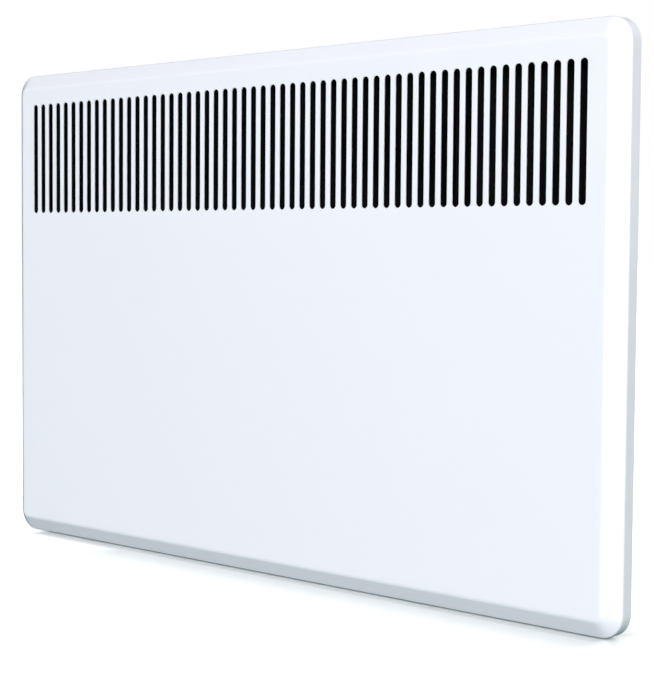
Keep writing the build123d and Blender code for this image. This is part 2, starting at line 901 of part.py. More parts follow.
def cutout_bracket():
    """Angle on the partition that clips round the cut-out."""
    low = cutout_floor + strap_rise
    high = low + strap_height
    y_front = casing_mid_y - strap_half
    y_rear = casing_mid_y + strap_half
    foot_front = casing_mid_y - strap_foot_half
    foot_rear = casing_mid_y + strap_foot_half
    ring = post(cutout_radius + inner_sheet, cutout_x, casing_mid_y, low, high)
    arm = block(partition_right, cutout_x, y_front, y_rear, low, high)
    foot = block(partition_right, partition_right + inner_sheet, foot_front, foot_rear, low, high)
    hole = floor_hole(cutout_radius, cutout_x, casing_mid_y, low, high)
    return ring + arm + foot - hole


def reset_button():
    """Button pressed up through the casing's floor to reset the cut-out."""
    low = casing_bottom - button_proud
    stem = post(button_radius, cutout_x, casing_mid_y, low, cutout_floor + button_reach)
    stem = fillet(stem.edges().group_by(Axis.Z)[0], button_round)
    collar_low = inside_bottom + contact_gap
    collar_high = collar_low + button_collar_thick
    collar = post(button_radius + button_collar, cutout_x, casing_mid_y, collar_low, collar_high)
    return stem + collar


# ---------- controls ----------
def control_fascia():
    """Moulded plate on the casing's top wall, with a skirt, a spindle hole and two switch openings."""
    plate = block(
        fascia_x - fascia_width / 2, fascia_x + fascia_width / 2,
        fascia_y - fascia_depth / 2, fascia_y + fascia_depth / 2, casing_top, fascia_top_z,
    )
    plate = fillet(plate.edges().filter_by(Axis.Z), fascia_corner)
    plate = fillet(plate.edges().group_by(Axis.Z)[-1], fascia_round)
    half_x = fascia_width / 2 - fascia_rim - fit_gap
    half_y = fascia_depth / 2 - fascia_rim - fit_gap
    skirt = block(
        fascia_x - half_x, fascia_x + half_x, fascia_y - half_y, fascia_y + half_y,
        casing_top - skirt_height, casing_top,
    )
    skirt -= block(
        fascia_x - half_x + skirt_wall, fascia_x + half_x - skirt_wall,
        fascia_y - half_y + skirt_wall, fascia_y + half_y - skirt_wall,
        casing_top - skirt_height - overcut, casing_top + overcut,
    )
    fascia = plate + skirt
    fascia -= floor_hole(spindle_radius + spindle_clear, knob_x, fascia_y, casing_top, fascia_top_z)
    fascia -= floor_hole(lens_radius, lens_x, fascia_y, casing_top, fascia_top_z)
    for x in switch_xs.values():
        half_w = switch_width / 2 + fit_gap
        half_l = switch_length / 2 + fit_gap
        fascia -= block(
            x - half_w, x + half_w, fascia_y - half_l, fascia_y + half_l,
            casing_top - overcut, fascia_top_z + overcut,
        )
    return fascia


def thermostat_body():
    """Thermostat block with a threaded neck under the fascia and three tags below."""
    x0 = knob_x - thermostat_width / 2
    y0 = fascia_y - thermostat_depth / 2
    body = block(x0, x0 + thermostat_width, y0, y0 + thermostat_depth, thermostat_floor, thermostat_top)
    body = fillet(body.edges().filter_by(Axis.Z), thermostat_round)
    neck = post(spindle_radius + neck_wall, knob_x, fascia_y, thermostat_top, casing_top)
    body += neck
    hole = spindle_radius + running_gap
    body -= post(hole, knob_x, fascia_y, thermostat_top - spindle_depth, casing_top + overcut)
    for x, y in thermostat_tags():
        body += block(
            x - tag_width / 2, x + tag_width / 2, y - tag_thick / 2, y + tag_thick / 2,
            thermostat_floor - tag_length, thermostat_floor,
        )
    return body


def thermostat_tags():
    """Middles of the thermostat's heat, feed and setback tags."""
    front = fascia_y - thermostat_depth / 2 + thermostat_tag_inset
    rear = fascia_y + thermostat_depth / 2 - thermostat_tag_inset
    heat = (knob_x - heat_tag_reach, front)
    feed = (knob_x + feed_tag_reach, front)
    setback = (knob_x + setback_tag_reach, rear)
    return heat, feed, setback


def thermostat_spindle():
    """Spindle that the knob turns."""
    low = thermostat_top - spindle_depth + contact_gap
    top = fascia_top_z + knob_gap + knob_height - knob_wall - spindle_top_gap
    shaft = post(spindle_radius, knob_x, fascia_y, low, top)
    flat_low = fascia_top_z + knob_gap + flat_rise
    flat = block(
        knob_x - spindle_radius, knob_x + spindle_radius, fascia_y + spindle_radius * flat_share,
        fascia_y + spindle_radius + overcut, flat_low, top + overcut,
    )
    return shaft - flat


def thermostat_knob():
    """Fluted control knob, hollow below, with a pointer ridge and a boss on the spindle."""
    low = fascia_top_z + knob_gap
    top = low + knob_height
    body = post(knob_radius, knob_x, fascia_y, low, top)
    body = fillet(body.edges().group_by(Axis.Z)[-1], knob_round)
    for i in range(flute_count):
        turn = 2 * pi * (i + 0.5) / flute_count
        x = knob_x + (knob_radius + flute_offset) * cos(turn)
        y = fascia_y + (knob_radius + flute_offset) * sin(turn)
        body -= post(flute_radius, x, y, low + knob_skirt, top + overcut)
    inner = knob_radius - knob_wall
    hollow = post(inner, knob_x, fascia_y, low - overcut, top - knob_wall)
    boss = post(spindle_radius + boss_wall, knob_x, fascia_y, low + boss_rise, top - knob_wall)
    body = body - (hollow - boss)
    body -= thermostat_spindle()
    body -= post(spindle_radius, knob_x, fascia_y, low - overcut, low + flat_rise)
    pointer = block(
        knob_x - pointer_half, knob_x + pointer_half,
        fascia_y - knob_radius + pointer_outer_gap, fascia_y - pointer_inner_gap,
        top - pointer_root, top + pointer_half,
    )
    return body + pointer


def switch_housing(x):
    """Snap-in rocker switch housing with a bezel, a pocket, pivot holes and two tags."""
    half_w = switch_width / 2
    half_l = switch_length / 2
    body = block(x - half_w, x + half_w, fascia_y - half_l, fascia_y + half_l, switch_floor_z, fascia_top_z)
    rim_w = half_w + bezel_rim
    rim_l = half_l + bezel_rim
    bezel = block(
        x - rim_w, x + rim_w, fascia_y - rim_l, fascia_y + rim_l, fascia_top_z, fascia_top_z + bezel_thick
    )
    bezel = fillet(bezel.edges().filter_by(Axis.Z), bezel_corner)
    bezel = fillet(bezel.edges().group_by(Axis.Z)[-1], bezel_round)
    housing = body + bezel
    pocket_w = rocker_half_width() + rocker_gap
    pocket_l = rocker_radius + rocker_gap
    floor = pivot_z - rocker_radius + pocket_floor
    housing -= block(
        x - pocket_w, x + pocket_w, fascia_y - pocket_l, fascia_y + pocket_l,
        floor, fascia_top_z + bezel_thick + overcut,
    )
    reach = rocker_half_width() + pivot_length + pivot_spare
    housing -= crossbar(pivot_radius + running_gap, fascia_y, pivot_z, x - reach, x + reach)
    for y in switch_tag_ys():
        housing += block(
            x - tag_width / 2, x + tag_width / 2, y - tag_thick / 2, y + tag_thick / 2,
            switch_floor_z - tag_length, switch_floor_z,
        )
    return housing


def switch_tag_ys():
    """Middles of a switch's two tags, front and rear."""
    return (fascia_y - switch_tag_reach, fascia_y + switch_tag_reach)


def rocker_half_width():
    """Half of a rocker's width across its pivot."""
    return switch_width / 2 - rocker_wall - rocker_gap


def rocker(x):
    """Rocker with a shallow V top and two pivot stubs, tilted to its off side."""
    edge_y = rocker_radius * cos(radians(rocker_edge_angle))
    edge_z = rocker_radius * sin(radians(rocker_edge_angle))
    foot_y = rocker_radius * cos(radians(rocker_foot_angle))
    foot_z = -rocker_radius * sin(radians(rocker_foot_angle))
    outline = Polyline((-edge_y, edge_z), (0, rocker_dip), (edge_y, edge_z))
    outline += ThreePointArc((edge_y, edge_z), (rocker_radius, 0), (foot_y, foot_z))
    outline += Line((foot_y, foot_z), (-foot_y, foot_z))
    outline += ThreePointArc((-foot_y, foot_z), (-rocker_radius, 0), (-edge_y, edge_z))
    half = rocker_half_width()
    body = extrude(Plane.YZ * make_face(outline), half, both=True)
    body = fillet(body.edges().filter_by(Axis.X).group_by(Axis.Z)[-1], rocker_round)
    stubs = crossbar(pivot_radius, 0, 0, -half - pivot_length, half + pivot_length)
    return Pos(x, fascia_y, pivot_z) * Rot(rocker_tilt, 0, 0) * (body + stubs)


def pilot_lens():
    """Domed pilot lens set in the fascia."""
    lens = post(lens_radius, lens_x, fascia_y, casing_top - lens_depth, fascia_top_z + lens_proud)
    return fillet(lens.edges().group_by(Axis.Z)[-1], lens_round)


def pilot_lamp():
    """Neon lamp under the lens."""
    top = casing_top - lens_depth
    return post(lens_radius, lens_x, fascia_y, top - lamp_length, top)


# ---------- sensing ----------
def sensor_bulb():
    """Thermostat bulb in the cool air near the casing's floor."""
    bulb = post(bulb_radius, bulb_x, bulb_y, bulb_z - bulb_length / 2, bulb_z + bulb_length / 2)
    return fillet(bulb.edges().group_by(Axis.Z)[0], bulb_round)


def sensor_capillary():
    """Thin tube from the thermostat down to the bulb."""
    start = (
        knob_x - thermostat_width / 2 + capillary_inset, fascia_y + capillary_rear, thermostat_floor
    )
    end = (bulb_x, bulb_y, bulb_z + bulb_length / 2)
    drop = (start[2] + end[2]) / 2
    points = [
        start,
        (start[0], start[1], drop + capillary_drop),
        (bulb_x, fascia_y, drop),
        (bulb_x, bulb_y, end[2] + capillary_lead_in),
        end,
    ]
    return lead(points, [capillary_bend, capillary_bend, capillary_end_bend], capillary_radius)


def bulb_clips():
    """Clips on the partition that hold the bulb."""
    clips = []
    reach = bulb_radius + clip_wall
    for z in (bulb_z - clip_spread, bulb_z + clip_spread):
        grip = block(
            partition_right, bulb_x + bulb_radius * clip_grip, bulb_y - reach, bulb_y + reach,
            z - clip_half, z + clip_half,
        )
        clips.append(grip - floor_hole(bulb_radius, bulb_x, bulb_y, z - clip_half, z + clip_half))
    return clips


# ---------- cord entry and terminals ----------
def cord_gland():
    """Cord gland through the casing's floor: flange below, thread and nut above."""
    low = casing_bottom - gland_flange_thick
    flange = post(gland_flange, gland_x, casing_mid_y, low, casing_bottom)
    flange = fillet(flange.edges().group_by(Axis.Z)[0], gland_round)
    thread = post(gland_thread, gland_x, casing_mid_y, casing_bottom, low + gland_length)
    bore = floor_hole(gland_bore, gland_x, casing_mid_y, low, low + gland_length)
    return flange + thread - bore


def gland_nut():
    """Hexagon nut that clamps the gland to the floor."""
    outline = Plane.XY.offset(inside_bottom) * Pos(gland_x, casing_mid_y) * RegularPolygon(
        gland_nut_flats / 2, 6, major_radius=False
    )
    nut = extrude(outline, gland_nut_thick)
    return nut - post(gland_thread, gland_x, casing_mid_y, casing_bottom, casing_top)


def clamp_planes():
    """Front faces of the clamp's base and of the cord space in front of it."""
    base_front = casing_mid_y + cord_space / 2
    bar_rear = casing_mid_y - cord_space / 2
    return base_front, bar_rear


def clamp_screw_xs():
    """Middles of the clamp's two screws."""
    reach = clamp_width / 2 - clamp_screw_inset
    return (gland_x - reach, gland_x + reach)


def cord_clamp_base():
    """Block on the casing's back that the cord lies against, with two posts."""
    base_front, bar_rear = clamp_planes()
    low = clamp_z - clamp_height / 2
    high = clamp_z + clamp_height / 2
    half = clamp_screw_inset
    base = block(gland_x - clamp_width / 2, gland_x + clamp_width / 2, base_front, inside_back_y, low, high)
    for x in clamp_screw_xs():
        base += block(x - half, x + half, bar_rear, base_front, low, high)
    holes = [(x, clamp_z) for x in clamp_screw_xs()]
    base -= wall_holes(small_screw_radius, holes, bar_rear, inside_back_y - clamp_hole_end)
    return base


def cord_clamp_bar():
    """Bar that presses the cord on the clamp's base."""
    bar_rear = clamp_planes()[1]
    low = clamp_z - clamp_height / 2
    high = clamp_z + clamp_height / 2
    bar = block(
        gland_x - clamp_width / 2, gland_x + clamp_width / 2, bar_rear - clamp_thick, bar_rear, low, high
    )
    bar = fillet(bar.edges().filter_by(Axis.Y), clamp_round)
    holes = [(x, clamp_z) for x in clamp_screw_xs()]
    bar -= wall_holes(small_screw_radius, holes, bar_rear - clamp_thick, bar_rear)
    return bar


def clamp_screws():
    """Two screws of the cord clamp."""
    front = clamp_planes()[1] - clamp_thick
    return [
        screw(
            (x, front, clamp_z), (0, 1, 0), small_screw_radius, small_screw_head, small_head_thick,
            clamp_thick + clamp_screw_reach,
        )
        for x in clamp_screw_xs()
    ]


def pole_xs():
    """Middles of the terminal block's three poles."""
    return (block_x - pole_pitch, block_x, block_x + pole_pitch)


def terminal_block():
    """Three-pole terminal block on the casing's back."""
    front = inside_back_y - block_depth
    low = block_z
    high = block_z + block_height
    body = block(block_x - block_width / 2, block_x + block_width / 2, front, inside_back_y, low, high)
    body = fillet(body.edges().filter_by(Axis.Z).group_by(Axis.Y)[0], block_round)
    for x in pole_xs():
        body -= post(pole_bore, x, pole_y, low - overcut, low + pole_bore_depth)
        for z in pole_screw_zs():
            body -= peg(pole_screw, x, z, front - overcut, front + pole_screw_depth)
    return body


def pole_screw_zs():
    """Heights of the two screws of each pole."""
    return (block_z + pole_screw_inset, block_top - pole_screw_inset)


def terminal_screws():
    """Brass clamping screws in the terminal block's poles."""
    head_y = inside_back_y - block_depth + pole_screw_sink
    end_y = inside_back_y - block_depth + pole_screw_depth
    return [peg(pole_screw, x, z, head_y, end_y) for x in pole_xs() for z in pole_screw_zs()]


def earth_stud():
    """Threaded stud on the casing's back for the earth lead."""
    base = peg(stud_radius * 2, stud_x, stud_z, inside_back_y - stud_base, inside_back_y)
    return base + peg(stud_radius, stud_x, stud_z, inside_back_y - stud_length, inside_back_y)


def earth_nut():
    """Nut and washer on the earth stud."""
    rear = inside_back_y - stud_base - tag_thick
    bore = peg(stud_radius, stud_x, stud_z, rear - stud_length, rear + stud_length)
    washer = peg(washer_radius, stud_x, stud_z, rear - washer_thick, rear) - bore
    hexagon = RegularPolygon(earth_nut_half, 6, major_radius=False)
    outline = wall_sketch(rear - washer_thick) * Pos(stud_x, stud_z) * hexagon
    nut = extrude(outline, earth_nut_thick) - bore
    return [washer, nut]


def earth_ring():
    """Ring terminal under the earth nut, with a barrel that grips the lead."""
    rear = inside_back_y - stud_base
    front = rear - tag_thick
    end_z = stud_z + ring_reach
    ring = peg(washer_radius, stud_x, stud_z, front, rear)
    tongue = block(
        stud_x - tongue_half, stud_x + tongue_half, front, rear, stud_z, stud_z + tongue_length
    )
    hole = wall_holes(stud_radius, [(stud_x, stud_z)], front, rear)
    barrel = post(lead_radius + barrel_wall, stud_x, (front + rear) / 2, end_z - barrel_length, end_z)
    return ring + tongue - hole + barrel


# ---------- leads ----------
def lead_live():
    """From the first pole up to the power switch's rear tag."""
    tag_z = switch_floor_z - tag_length
    turns = [block_top + (tag_z - block_top) * share for share in live_heights]
    x0 = pole_xs()[0]
    y1 = switch_tag_ys()[1]
    points = [
        (x0, pole_y, block_top),
        (x0, pole_y, turns[0]),
        (x0 + lead_slack, pole_y - lead_slack, turns[1]),
        (power_x - lead_slack, y1 + lead_slack, turns[2]),
        (power_x, y1, turns[3]),
        (power_x, y1, tag_z),
    ]
    return lead(points, [lead_sweep * share for share in live_bends])


def lead_neutral():
    """From the middle pole round to the rod's lower pin."""
    x0 = pole_xs()[1]
    front = rod_y - lead_front
    low = rod_rows[0]
    points = [
        (x0, pole_y, block_top),
        (x0, pole_y, block_top + lead_hop),
        (x0 - lead_tight, front + lead_slack, block_top + lead_hop),
        (x0 - lead_turn, front, rod_z + lead_front),
        (pin_end_x + lead_tail, rod_y, low),
        (pin_end_x, rod_y, low),
    ]
    return lead(points, [lead_tight, lead_tight, lead_easy, lead_tight])


def lead_earth():
    """From the third pole over to the earth stud's ring terminal."""
    x0 = pole_xs()[2]
    end_y = inside_back_y - stud_base - tag_thick / 2
    hops = [block_top + lead_hop * share for share in earth_hops]
    points = [
        (x0, pole_y, block_top),
        (x0, pole_y, hops[0]),
        (pole_xs()[1], rod_y, hops[1]),
        (stud_x + 2 * lead_slack, rod_y + lead_easy, hops[2]),
        (stud_x, end_y, stud_z + 2 * ring_reach),
        (stud_x, end_y, stud_z + ring_reach),
    ]
    return lead(points, [lead_easy, lead_easy, lead_turn, lead_tight])


def lead_switched():
    """From the power switch's front tag across to the thermostat's feed."""
    x0 = power_x - tag_width / 4
    y = switch_tag_ys()[0]
    x1, y1 = thermostat_tags()[1]
    z0 = switch_floor_z - tag_length
    z1 = thermostat_floor - tag_length
    points = [
        (x0, y, z0),
        (x0, y, z1 - lead_tail),
        (x1, y1, z1 - lead_tail - lead_slack),
        (x1, y1, z1),
    ]
    return lead(points, [lead_turn, lead_turn])


def lead_bridge():
    """Short loop that feeds the economy switch from the power switch's front tag."""
    x0 = power_x + tag_width / 4
    y = switch_tag_ys()[0]
    z = switch_floor_z - tag_length
    loop_z = z - lead_tail
    points = [(x0, y, z), (x0, y, loop_z), (economy_x, y, loop_z), (economy_x, y, z)]
    return lead(points, [lead_tight, lead_tight])


def lead_setback():
    """From the economy switch's rear tag behind the other leads to the thermostat's setback tag."""
    y0 = switch_tag_ys()[1]
    x1, y1 = thermostat_tags()[2]
    z0 = switch_floor_z - tag_length
    z1 = thermostat_floor - tag_length
    behind = fascia_y + fascia_depth / 2 - lead_slack
    loop_z = z1 - setback_loop * lead_tail
    points = [
        (economy_x, y0, z0),
        (economy_x, y0, z0 - lead_tail),
        (power_x + lead_slack, behind, loop_z),
        (x1 + lead_easy, behind, loop_z),
        (x1, y1, z1 - lead_tail),
        (x1, y1, z1),
    ]
    return lead(points, [lead_tight, lead_easy, lead_tight, lead_tight * setback_end])


def lead_heat():
    """From the thermostat down to the cut-out's first tag."""
    x0, y0 = thermostat_tags()[0]
    z0 = thermostat_floor - tag_length
    x1 = cutout_tag_xs()[0]
    end_z = cutout_top + tag_length
    front = rod_y - lead_front - 2 * lead_radius
    pass_x = stud_x + lead_easy
    points = [
        (x0, y0, z0),
        (x0, y0, z0 - 2 * lead_easy),
        (x0 + lead_slack, front + lead_radius, stud_z + lead_sweep),
        (pass_x, front, rod_rows[1] + 2 * lead_easy),
        (pass_x, front, rod_rows[0]),
        (x1, casing_mid_y, end_z + lead_tail),
        (x1, casing_mid_y, end_z),
    ]
    return lead(points, [2 * lead_easy, lead_sweep, 3 * lead_easy, lead_turn, lead_tight])


def lead_element():
    """From the cut-out's second tag to the rod's upper pin."""
    x0 = cutout_tag_xs()[1]
    z0 = cutout_top + tag_length
    high = rod_rows[1]
    points = [
        (x0, casing_mid_y, z0),
        (x0, casing_mid_y, z0 + lead_turn),
        (x0 + lead_tail, casing_mid_y + lead_slack, z0 + 3 * lead_turn),
        (x0 + lead_tail, rod_y + lead_radius, high - lead_slack),
        (pin_end_x + lead_turn, rod_y, high),
        (pin_end_x, rod_y, high),
    ]
    return lead(points, [lead_tight, lead_turn, lead_tight, lead_slack])


# ---------- wall bracket ----------
def bracket_arm(side):
    """Upright arm screwed to the wall, with two hooks bent forward from its inner edge."""
    x = side * arm_spacing / 2
    plate = block(x - arm_width / 2, x + arm_width / 2, -bracket_sheet, 0, arm_bottom, arm_top)
    plate = fillet(plate.edges().filter_by(Axis.Y), arm_corner)
    arm = plate
    hook_x = hook_xs()[0] if side < 0 else hook_xs()[1]
    for z in hook_rows:
        arm += Pos(hook_x - bracket_sheet / 2, 0, z) * extrude(Plane.YZ * hook_outline(), bracket_sheet)
    for z in (-bolt_rows / 2, bolt_rows / 2):
        arm -= wall_holes(bolt_radius, [(x, z)], -bracket_sheet, 0)
    return arm


def hook_xs():
    """Middles of the hooks, at the arms' inner edges."""
    inner = arm_spacing / 2 - arm_width / 2 + bracket_sheet / 2
    return (-inner, inner)


def hook_outline():
    """Side view of a hook: throat at height zero, nose rising in front of the casing's back wall."""
    throat_y = inside_back_y - hook_slack
    tip_y = throat_y - hook_nose_thick
    face = Polyline(
        (0, -hook_height), (0, 0), (throat_y, 0), (throat_y, hook_nose), (throat_y - hook_tip, hook_nose),
        (tip_y, hook_nose - hook_nose_slope), (tip_y, hook_heel - hook_height),
        (tip_y + hook_heel, -hook_height), (0, -hook_height),
    )
    return make_face(face)


def bracket_bar():
    """Cross bar welded on the two arms, stiffened by folded edges."""
    reach = arm_spacing / 2 - arm_width / 2 + bar_overlap
    front = -2 * bracket_sheet
    half = bar_height / 2
    plate = block(-reach, reach, front, -bracket_sheet, -half, half)
    for z in (-half, half - bracket_sheet):
        plate += block(-reach, reach, -bracket_sheet - bar_flange, -bracket_sheet, z, z + bracket_sheet)
    return plate


# ---------- write one file per piece ----------
nodes = {
    "front_panel": front_panel(),
    "rear_casing": rear_casing(),
    "casing_flange": casing_flange(),
    "inlet_guard": inlet_guard(),
    "outlet_duct": outlet_duct(),
    "heat_shield": heat_shield(),
    "partition": partition(),
    "wiring_cover": wiring_cover(),
    "panel_screws": panel_screws(),
    "casing_screws": casing_screws(),
    "front_screws": front_screws(),
    "wall_buffers": wall_buffers(),
    "heater_rod": heater_rod(),
    "heating_fins": heating_fins(),
    "element_support": element_support(),
    "ceramic_bushes": ceramic_bushes(),
    "rod_seals": rod_seals(),
    "rod_pins": rod_pins(),
    "cutout_body": cutout_body(),
    "cutout_bracket": cutout_bracket(),
    "reset_button": reset_button(),
    "control_fascia": control_fascia(),
    "thermostat_body": thermostat_body(),
    "thermostat_spindle": thermostat_spindle(),
    "thermostat_knob": thermostat_knob(),
    "power_switch": switch_housing(power_x),
    "power_rocker": rocker(power_x),
    "economy_switch": switch_housing(economy_x),
    "economy_rocker": rocker(economy_x),
    "pilot_lens": pilot_lens(),
    "pilot_lamp": pilot_lamp(),
    "sensor_bulb": sensor_bulb(),
    "sensor_capillary": sensor_capillary(),
    "bulb_clips": bulb_clips(),
    "cord_gland": cord_gland(),
    "gland_nut": gland_nut(),
    "cord_clamp_base": cord_clamp_base(),
    "cord_clamp_bar": cord_clamp_bar(),
    "clamp_screws": clamp_screws(),
    "terminal_block": terminal_block(),
    "terminal_screws": terminal_screws(),
    "earth_stud": earth_stud(),
    "earth_nut": earth_nut(),
    "earth_ring": earth_ring(),
    "lead_live": lead_live(),
    "lead_neutral": lead_neutral(),
    "lead_earth": lead_earth(),
    "lead_switched": lead_switched(),
    "lead_bridge": lead_bridge(),
    "lead_setback": lead_setback(),
    "lead_heat": lead_heat(),
    "lead_element": lead_element(),
    "bracket_arm_left": bracket_arm(-1),
    "bracket_arm_right": bracket_arm(1),
    "bracket_bar": bracket_bar(),
}

os.makedirs("parts", exist_ok=True)
for name, shape in nodes.items():
    solid = Compound(children=list(shape)) if isinstance(shape, list) else shape
    export_step(solid, f"parts/{name}.step")
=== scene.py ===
# Wall panel convector heater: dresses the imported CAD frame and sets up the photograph's view.
# Metres. X right, Y into the wall, Z up; the wall is the plane y = 0.
import bpy
import bmesh
import json
from math import cos, pi, radians, sin, tan
from mathutils import Matrix, Vector


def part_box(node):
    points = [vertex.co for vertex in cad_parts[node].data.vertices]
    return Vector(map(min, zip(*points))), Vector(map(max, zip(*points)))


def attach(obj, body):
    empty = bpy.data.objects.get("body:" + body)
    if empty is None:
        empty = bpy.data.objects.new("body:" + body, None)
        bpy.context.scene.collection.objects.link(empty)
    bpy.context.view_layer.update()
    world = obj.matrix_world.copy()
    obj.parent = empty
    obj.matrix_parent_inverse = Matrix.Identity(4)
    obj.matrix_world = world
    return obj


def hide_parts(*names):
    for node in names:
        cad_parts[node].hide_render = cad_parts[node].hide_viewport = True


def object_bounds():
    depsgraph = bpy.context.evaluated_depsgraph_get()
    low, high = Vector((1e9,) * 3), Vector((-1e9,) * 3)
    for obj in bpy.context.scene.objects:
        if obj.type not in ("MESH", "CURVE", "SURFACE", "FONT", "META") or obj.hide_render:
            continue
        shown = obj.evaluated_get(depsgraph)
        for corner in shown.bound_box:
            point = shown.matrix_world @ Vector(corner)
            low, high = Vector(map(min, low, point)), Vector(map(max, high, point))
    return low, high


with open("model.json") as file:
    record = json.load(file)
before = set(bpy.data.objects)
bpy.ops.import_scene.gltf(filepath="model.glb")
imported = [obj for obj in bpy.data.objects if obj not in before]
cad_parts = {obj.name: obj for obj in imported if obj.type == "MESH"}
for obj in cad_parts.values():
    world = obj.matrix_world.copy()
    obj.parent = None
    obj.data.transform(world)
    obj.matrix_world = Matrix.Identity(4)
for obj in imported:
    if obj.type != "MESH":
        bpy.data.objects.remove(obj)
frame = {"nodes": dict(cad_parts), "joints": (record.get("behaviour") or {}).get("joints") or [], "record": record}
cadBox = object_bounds()
nodes = frame["nodes"]
scene = bpy.context.scene
print("frame loaded:", len(nodes), "nodes")

# camera, from the panel's edges, bevel lines and slot ends in the photograph
cameraSetup = {
    "place": (0.9335, -0.9967, 0.0508),
    "yaw": 43.648,  # degrees round from the wall's normal
    "pitch": 3.369,  # degrees below level
    "roll": 0.430,
    "lens": 88.28,
    "sensor": 36.0,
    "nearest": 0.01,  # nothing closer than this is drawn
}


def aimCamera(setup):
    yaw, pitch, roll = (radians(setup[k]) for k in ("yaw", "pitch", "roll"))
    right = Vector((cos(yaw), sin(yaw), 0))
    ahead = Vector((-sin(yaw) * cos(pitch), cos(yaw) * cos(pitch), -sin(pitch)))
    up = right.cross(ahead)
    side = cos(roll) * right + sin(roll) * up
    top = -sin(roll) * right + cos(roll) * up
    data = bpy.data.cameras.new("photoCamera")
    data.sensor_width = setup["sensor"]
    data.lens = setup["lens"]
    data.clip_start = setup["nearest"]
    camera = bpy.data.objects.new("photoCamera", data)
    turn = Matrix((side, top, -ahead)).transposed().to_4x4()
    camera.matrix_world = Matrix.Translation(setup["place"]) @ turn
    scene.collection.objects.link(camera)
    scene.camera = camera


aimCamera(cameraSetup)
print("camera set")


# node helpers, for the studio and for the finishes
def addNode(tree, kind, **values):
    node = tree.nodes.new("ShaderNode" + kind)
    for key, value in values.items():
        if key in node.inputs:
            node.inputs[key].default_value = value
        else:
            setattr(node, key, value)
    return node


def feed(tree, sockets, values):
    # a value is either another node's output or a constant
    for socket, value in zip(sockets, values):
        if isinstance(value, bpy.types.NodeSocket):
            tree.links.new(value, socket)
        else:
            socket.default_value = value


def maths(tree, operation, *values):
    node = addNode(tree, "Math", operation=operation)
    feed(tree, node.inputs, values)
    return node.outputs[0]


def remap(tree, source, start, end, low, high):
    node = addNode(tree, "MapRange")
    keys = ("Value", "From Min", "From Max", "To Min", "To Max")
    feed(tree, [node.inputs[key] for key in keys], (source, start, end, low, high))
    return node.outputs["Result"]


# studio: pale floor, white surround that is dim at the far left, three soft lights
studio = {
    "floorGap": 0.0004,  # under the heater's lowest point
    "floorSize": 30.0,
    "floorColour": (0.92, 0.93, 0.91, 1),
    "floorGlowColour": (1.0, 0.99, 0.965, 1),
    "floorSpecular": 0.2,
    "floorRoughness": 0.14,
    "floorBounce": (0.075, 0.185, 0.185, 1),  # the floor's colour in all light but the camera's
    "floorBehind": (-0.07, 0.0),  # between these two y the shade ends, towards the wall
    # painted shade on the floor: patches where its glow is lowered round the heater's foot, the wide one first:
    # the middle, half of the width and depth, how much sooner it fades along each axis, and how much the floor
    # glows at each distance outside
    "shades": (
        {"centre": (0.07, -0.0425), "half": (0.23, 0.0425), "stretch": (2.0, 1.0, 1.0),
         "glow": ((0.0, 0.15), (0.013, 0.205), (0.03, 0.31), (0.065, 0.42), (0.13, 0.68), (0.22, 1.0))},
        {"centre": (0.012, -0.0425), "half": (0.292, 0.0425), "stretch": (1.0, 1.0, 1.0),
         "glow": ((0.0, 0.02), (0.006, 0.25), (0.014, 0.6), (0.05, 1.0))},
    ),
    "backdrop": (1, 1, 1, 1),  # what the camera sees past the floor
    "surround": (0.885, 0.93, 1.0, 1),
    "surroundLight": 1.39,
    "sideShade": 0.04,  # how bright the surround is at its dim sides, as a share
    "brightMiddle": 0.35,
    "brightReach": 1.15,
    "topShade": (0.1, 1.0, 1.0, 0.35),  # from where to where upwards it dims, and from what to what
    "lights": {
        "key": {"place": (8.2, -7.0, 0.6), "size": 5.2, "watts": 700.0, "colour": (1.0, 0.935, 0.845)},
        "rear": {"place": (-1.6, 4.6, 1.9), "size": 2.6, "watts": 190.0, "colour": (1.0, 0.98, 0.94),
                 "mirrored": False},
        "front": {"place": (1.5, -5.0, 1.4), "size": 2.6, "watts": 164.0, "colour": (0.89, 0.915, 1.0)},
    },
}


def softLight(name, place, size, watts, colour, mirrored=True):
    data = bpy.data.lights.new(name, "AREA")
    data.shape = "SQUARE"
    data.size = size
    data.energy = watts
    data.color = colour
    light = bpy.data.objects.new(name, data)
    light.location = place
    light.visible_glossy = mirrored
    light.rotation_euler = (-Vector(place)).to_track_quat("-Z", "Y").to_euler()
    scene.collection.objects.link(light)


def cameraOnly(tree, seen, otherwise, out):
    mix = addNode(tree, "MixShader")
    path = addNode(tree, "LightPath")
    feed(tree, mix.inputs, (path.outputs["Is Camera Ray"], otherwise.outputs[0], seen.outputs[0]))
    tree.links.new(mix.outputs[0], out.inputs["Surface"])


def buildSurround(setup):
    world = bpy.data.worlds.new("studio")
    world.use_nodes = True
    tree = world.node_tree
    tree.nodes.clear()
    axes = addNode(tree, "SeparateXYZ")
    tree.links.new(addNode(tree, "TexCoord").outputs["Generated"], axes.inputs[0])
    aside = maths(tree, "ABSOLUTE", maths(tree, "SUBTRACT", axes.outputs["X"], setup["brightMiddle"]))
    brightest = setup["surroundLight"]
    across = remap(tree, aside, 0.0, setup["brightReach"], brightest, brightest * setup["sideShade"])
    upwards = remap(tree, axes.outputs["Z"], *setup["topShade"])
    lighting = addNode(tree, "Background", Color=setup["surround"])
    tree.links.new(maths(tree, "MULTIPLY", across, upwards), lighting.inputs["Strength"])
    backdrop = addNode(tree, "Background", Color=setup["backdrop"])
    cameraOnly(tree, backdrop, lighting, addNode(tree, "OutputWorld"))
    scene.world = world


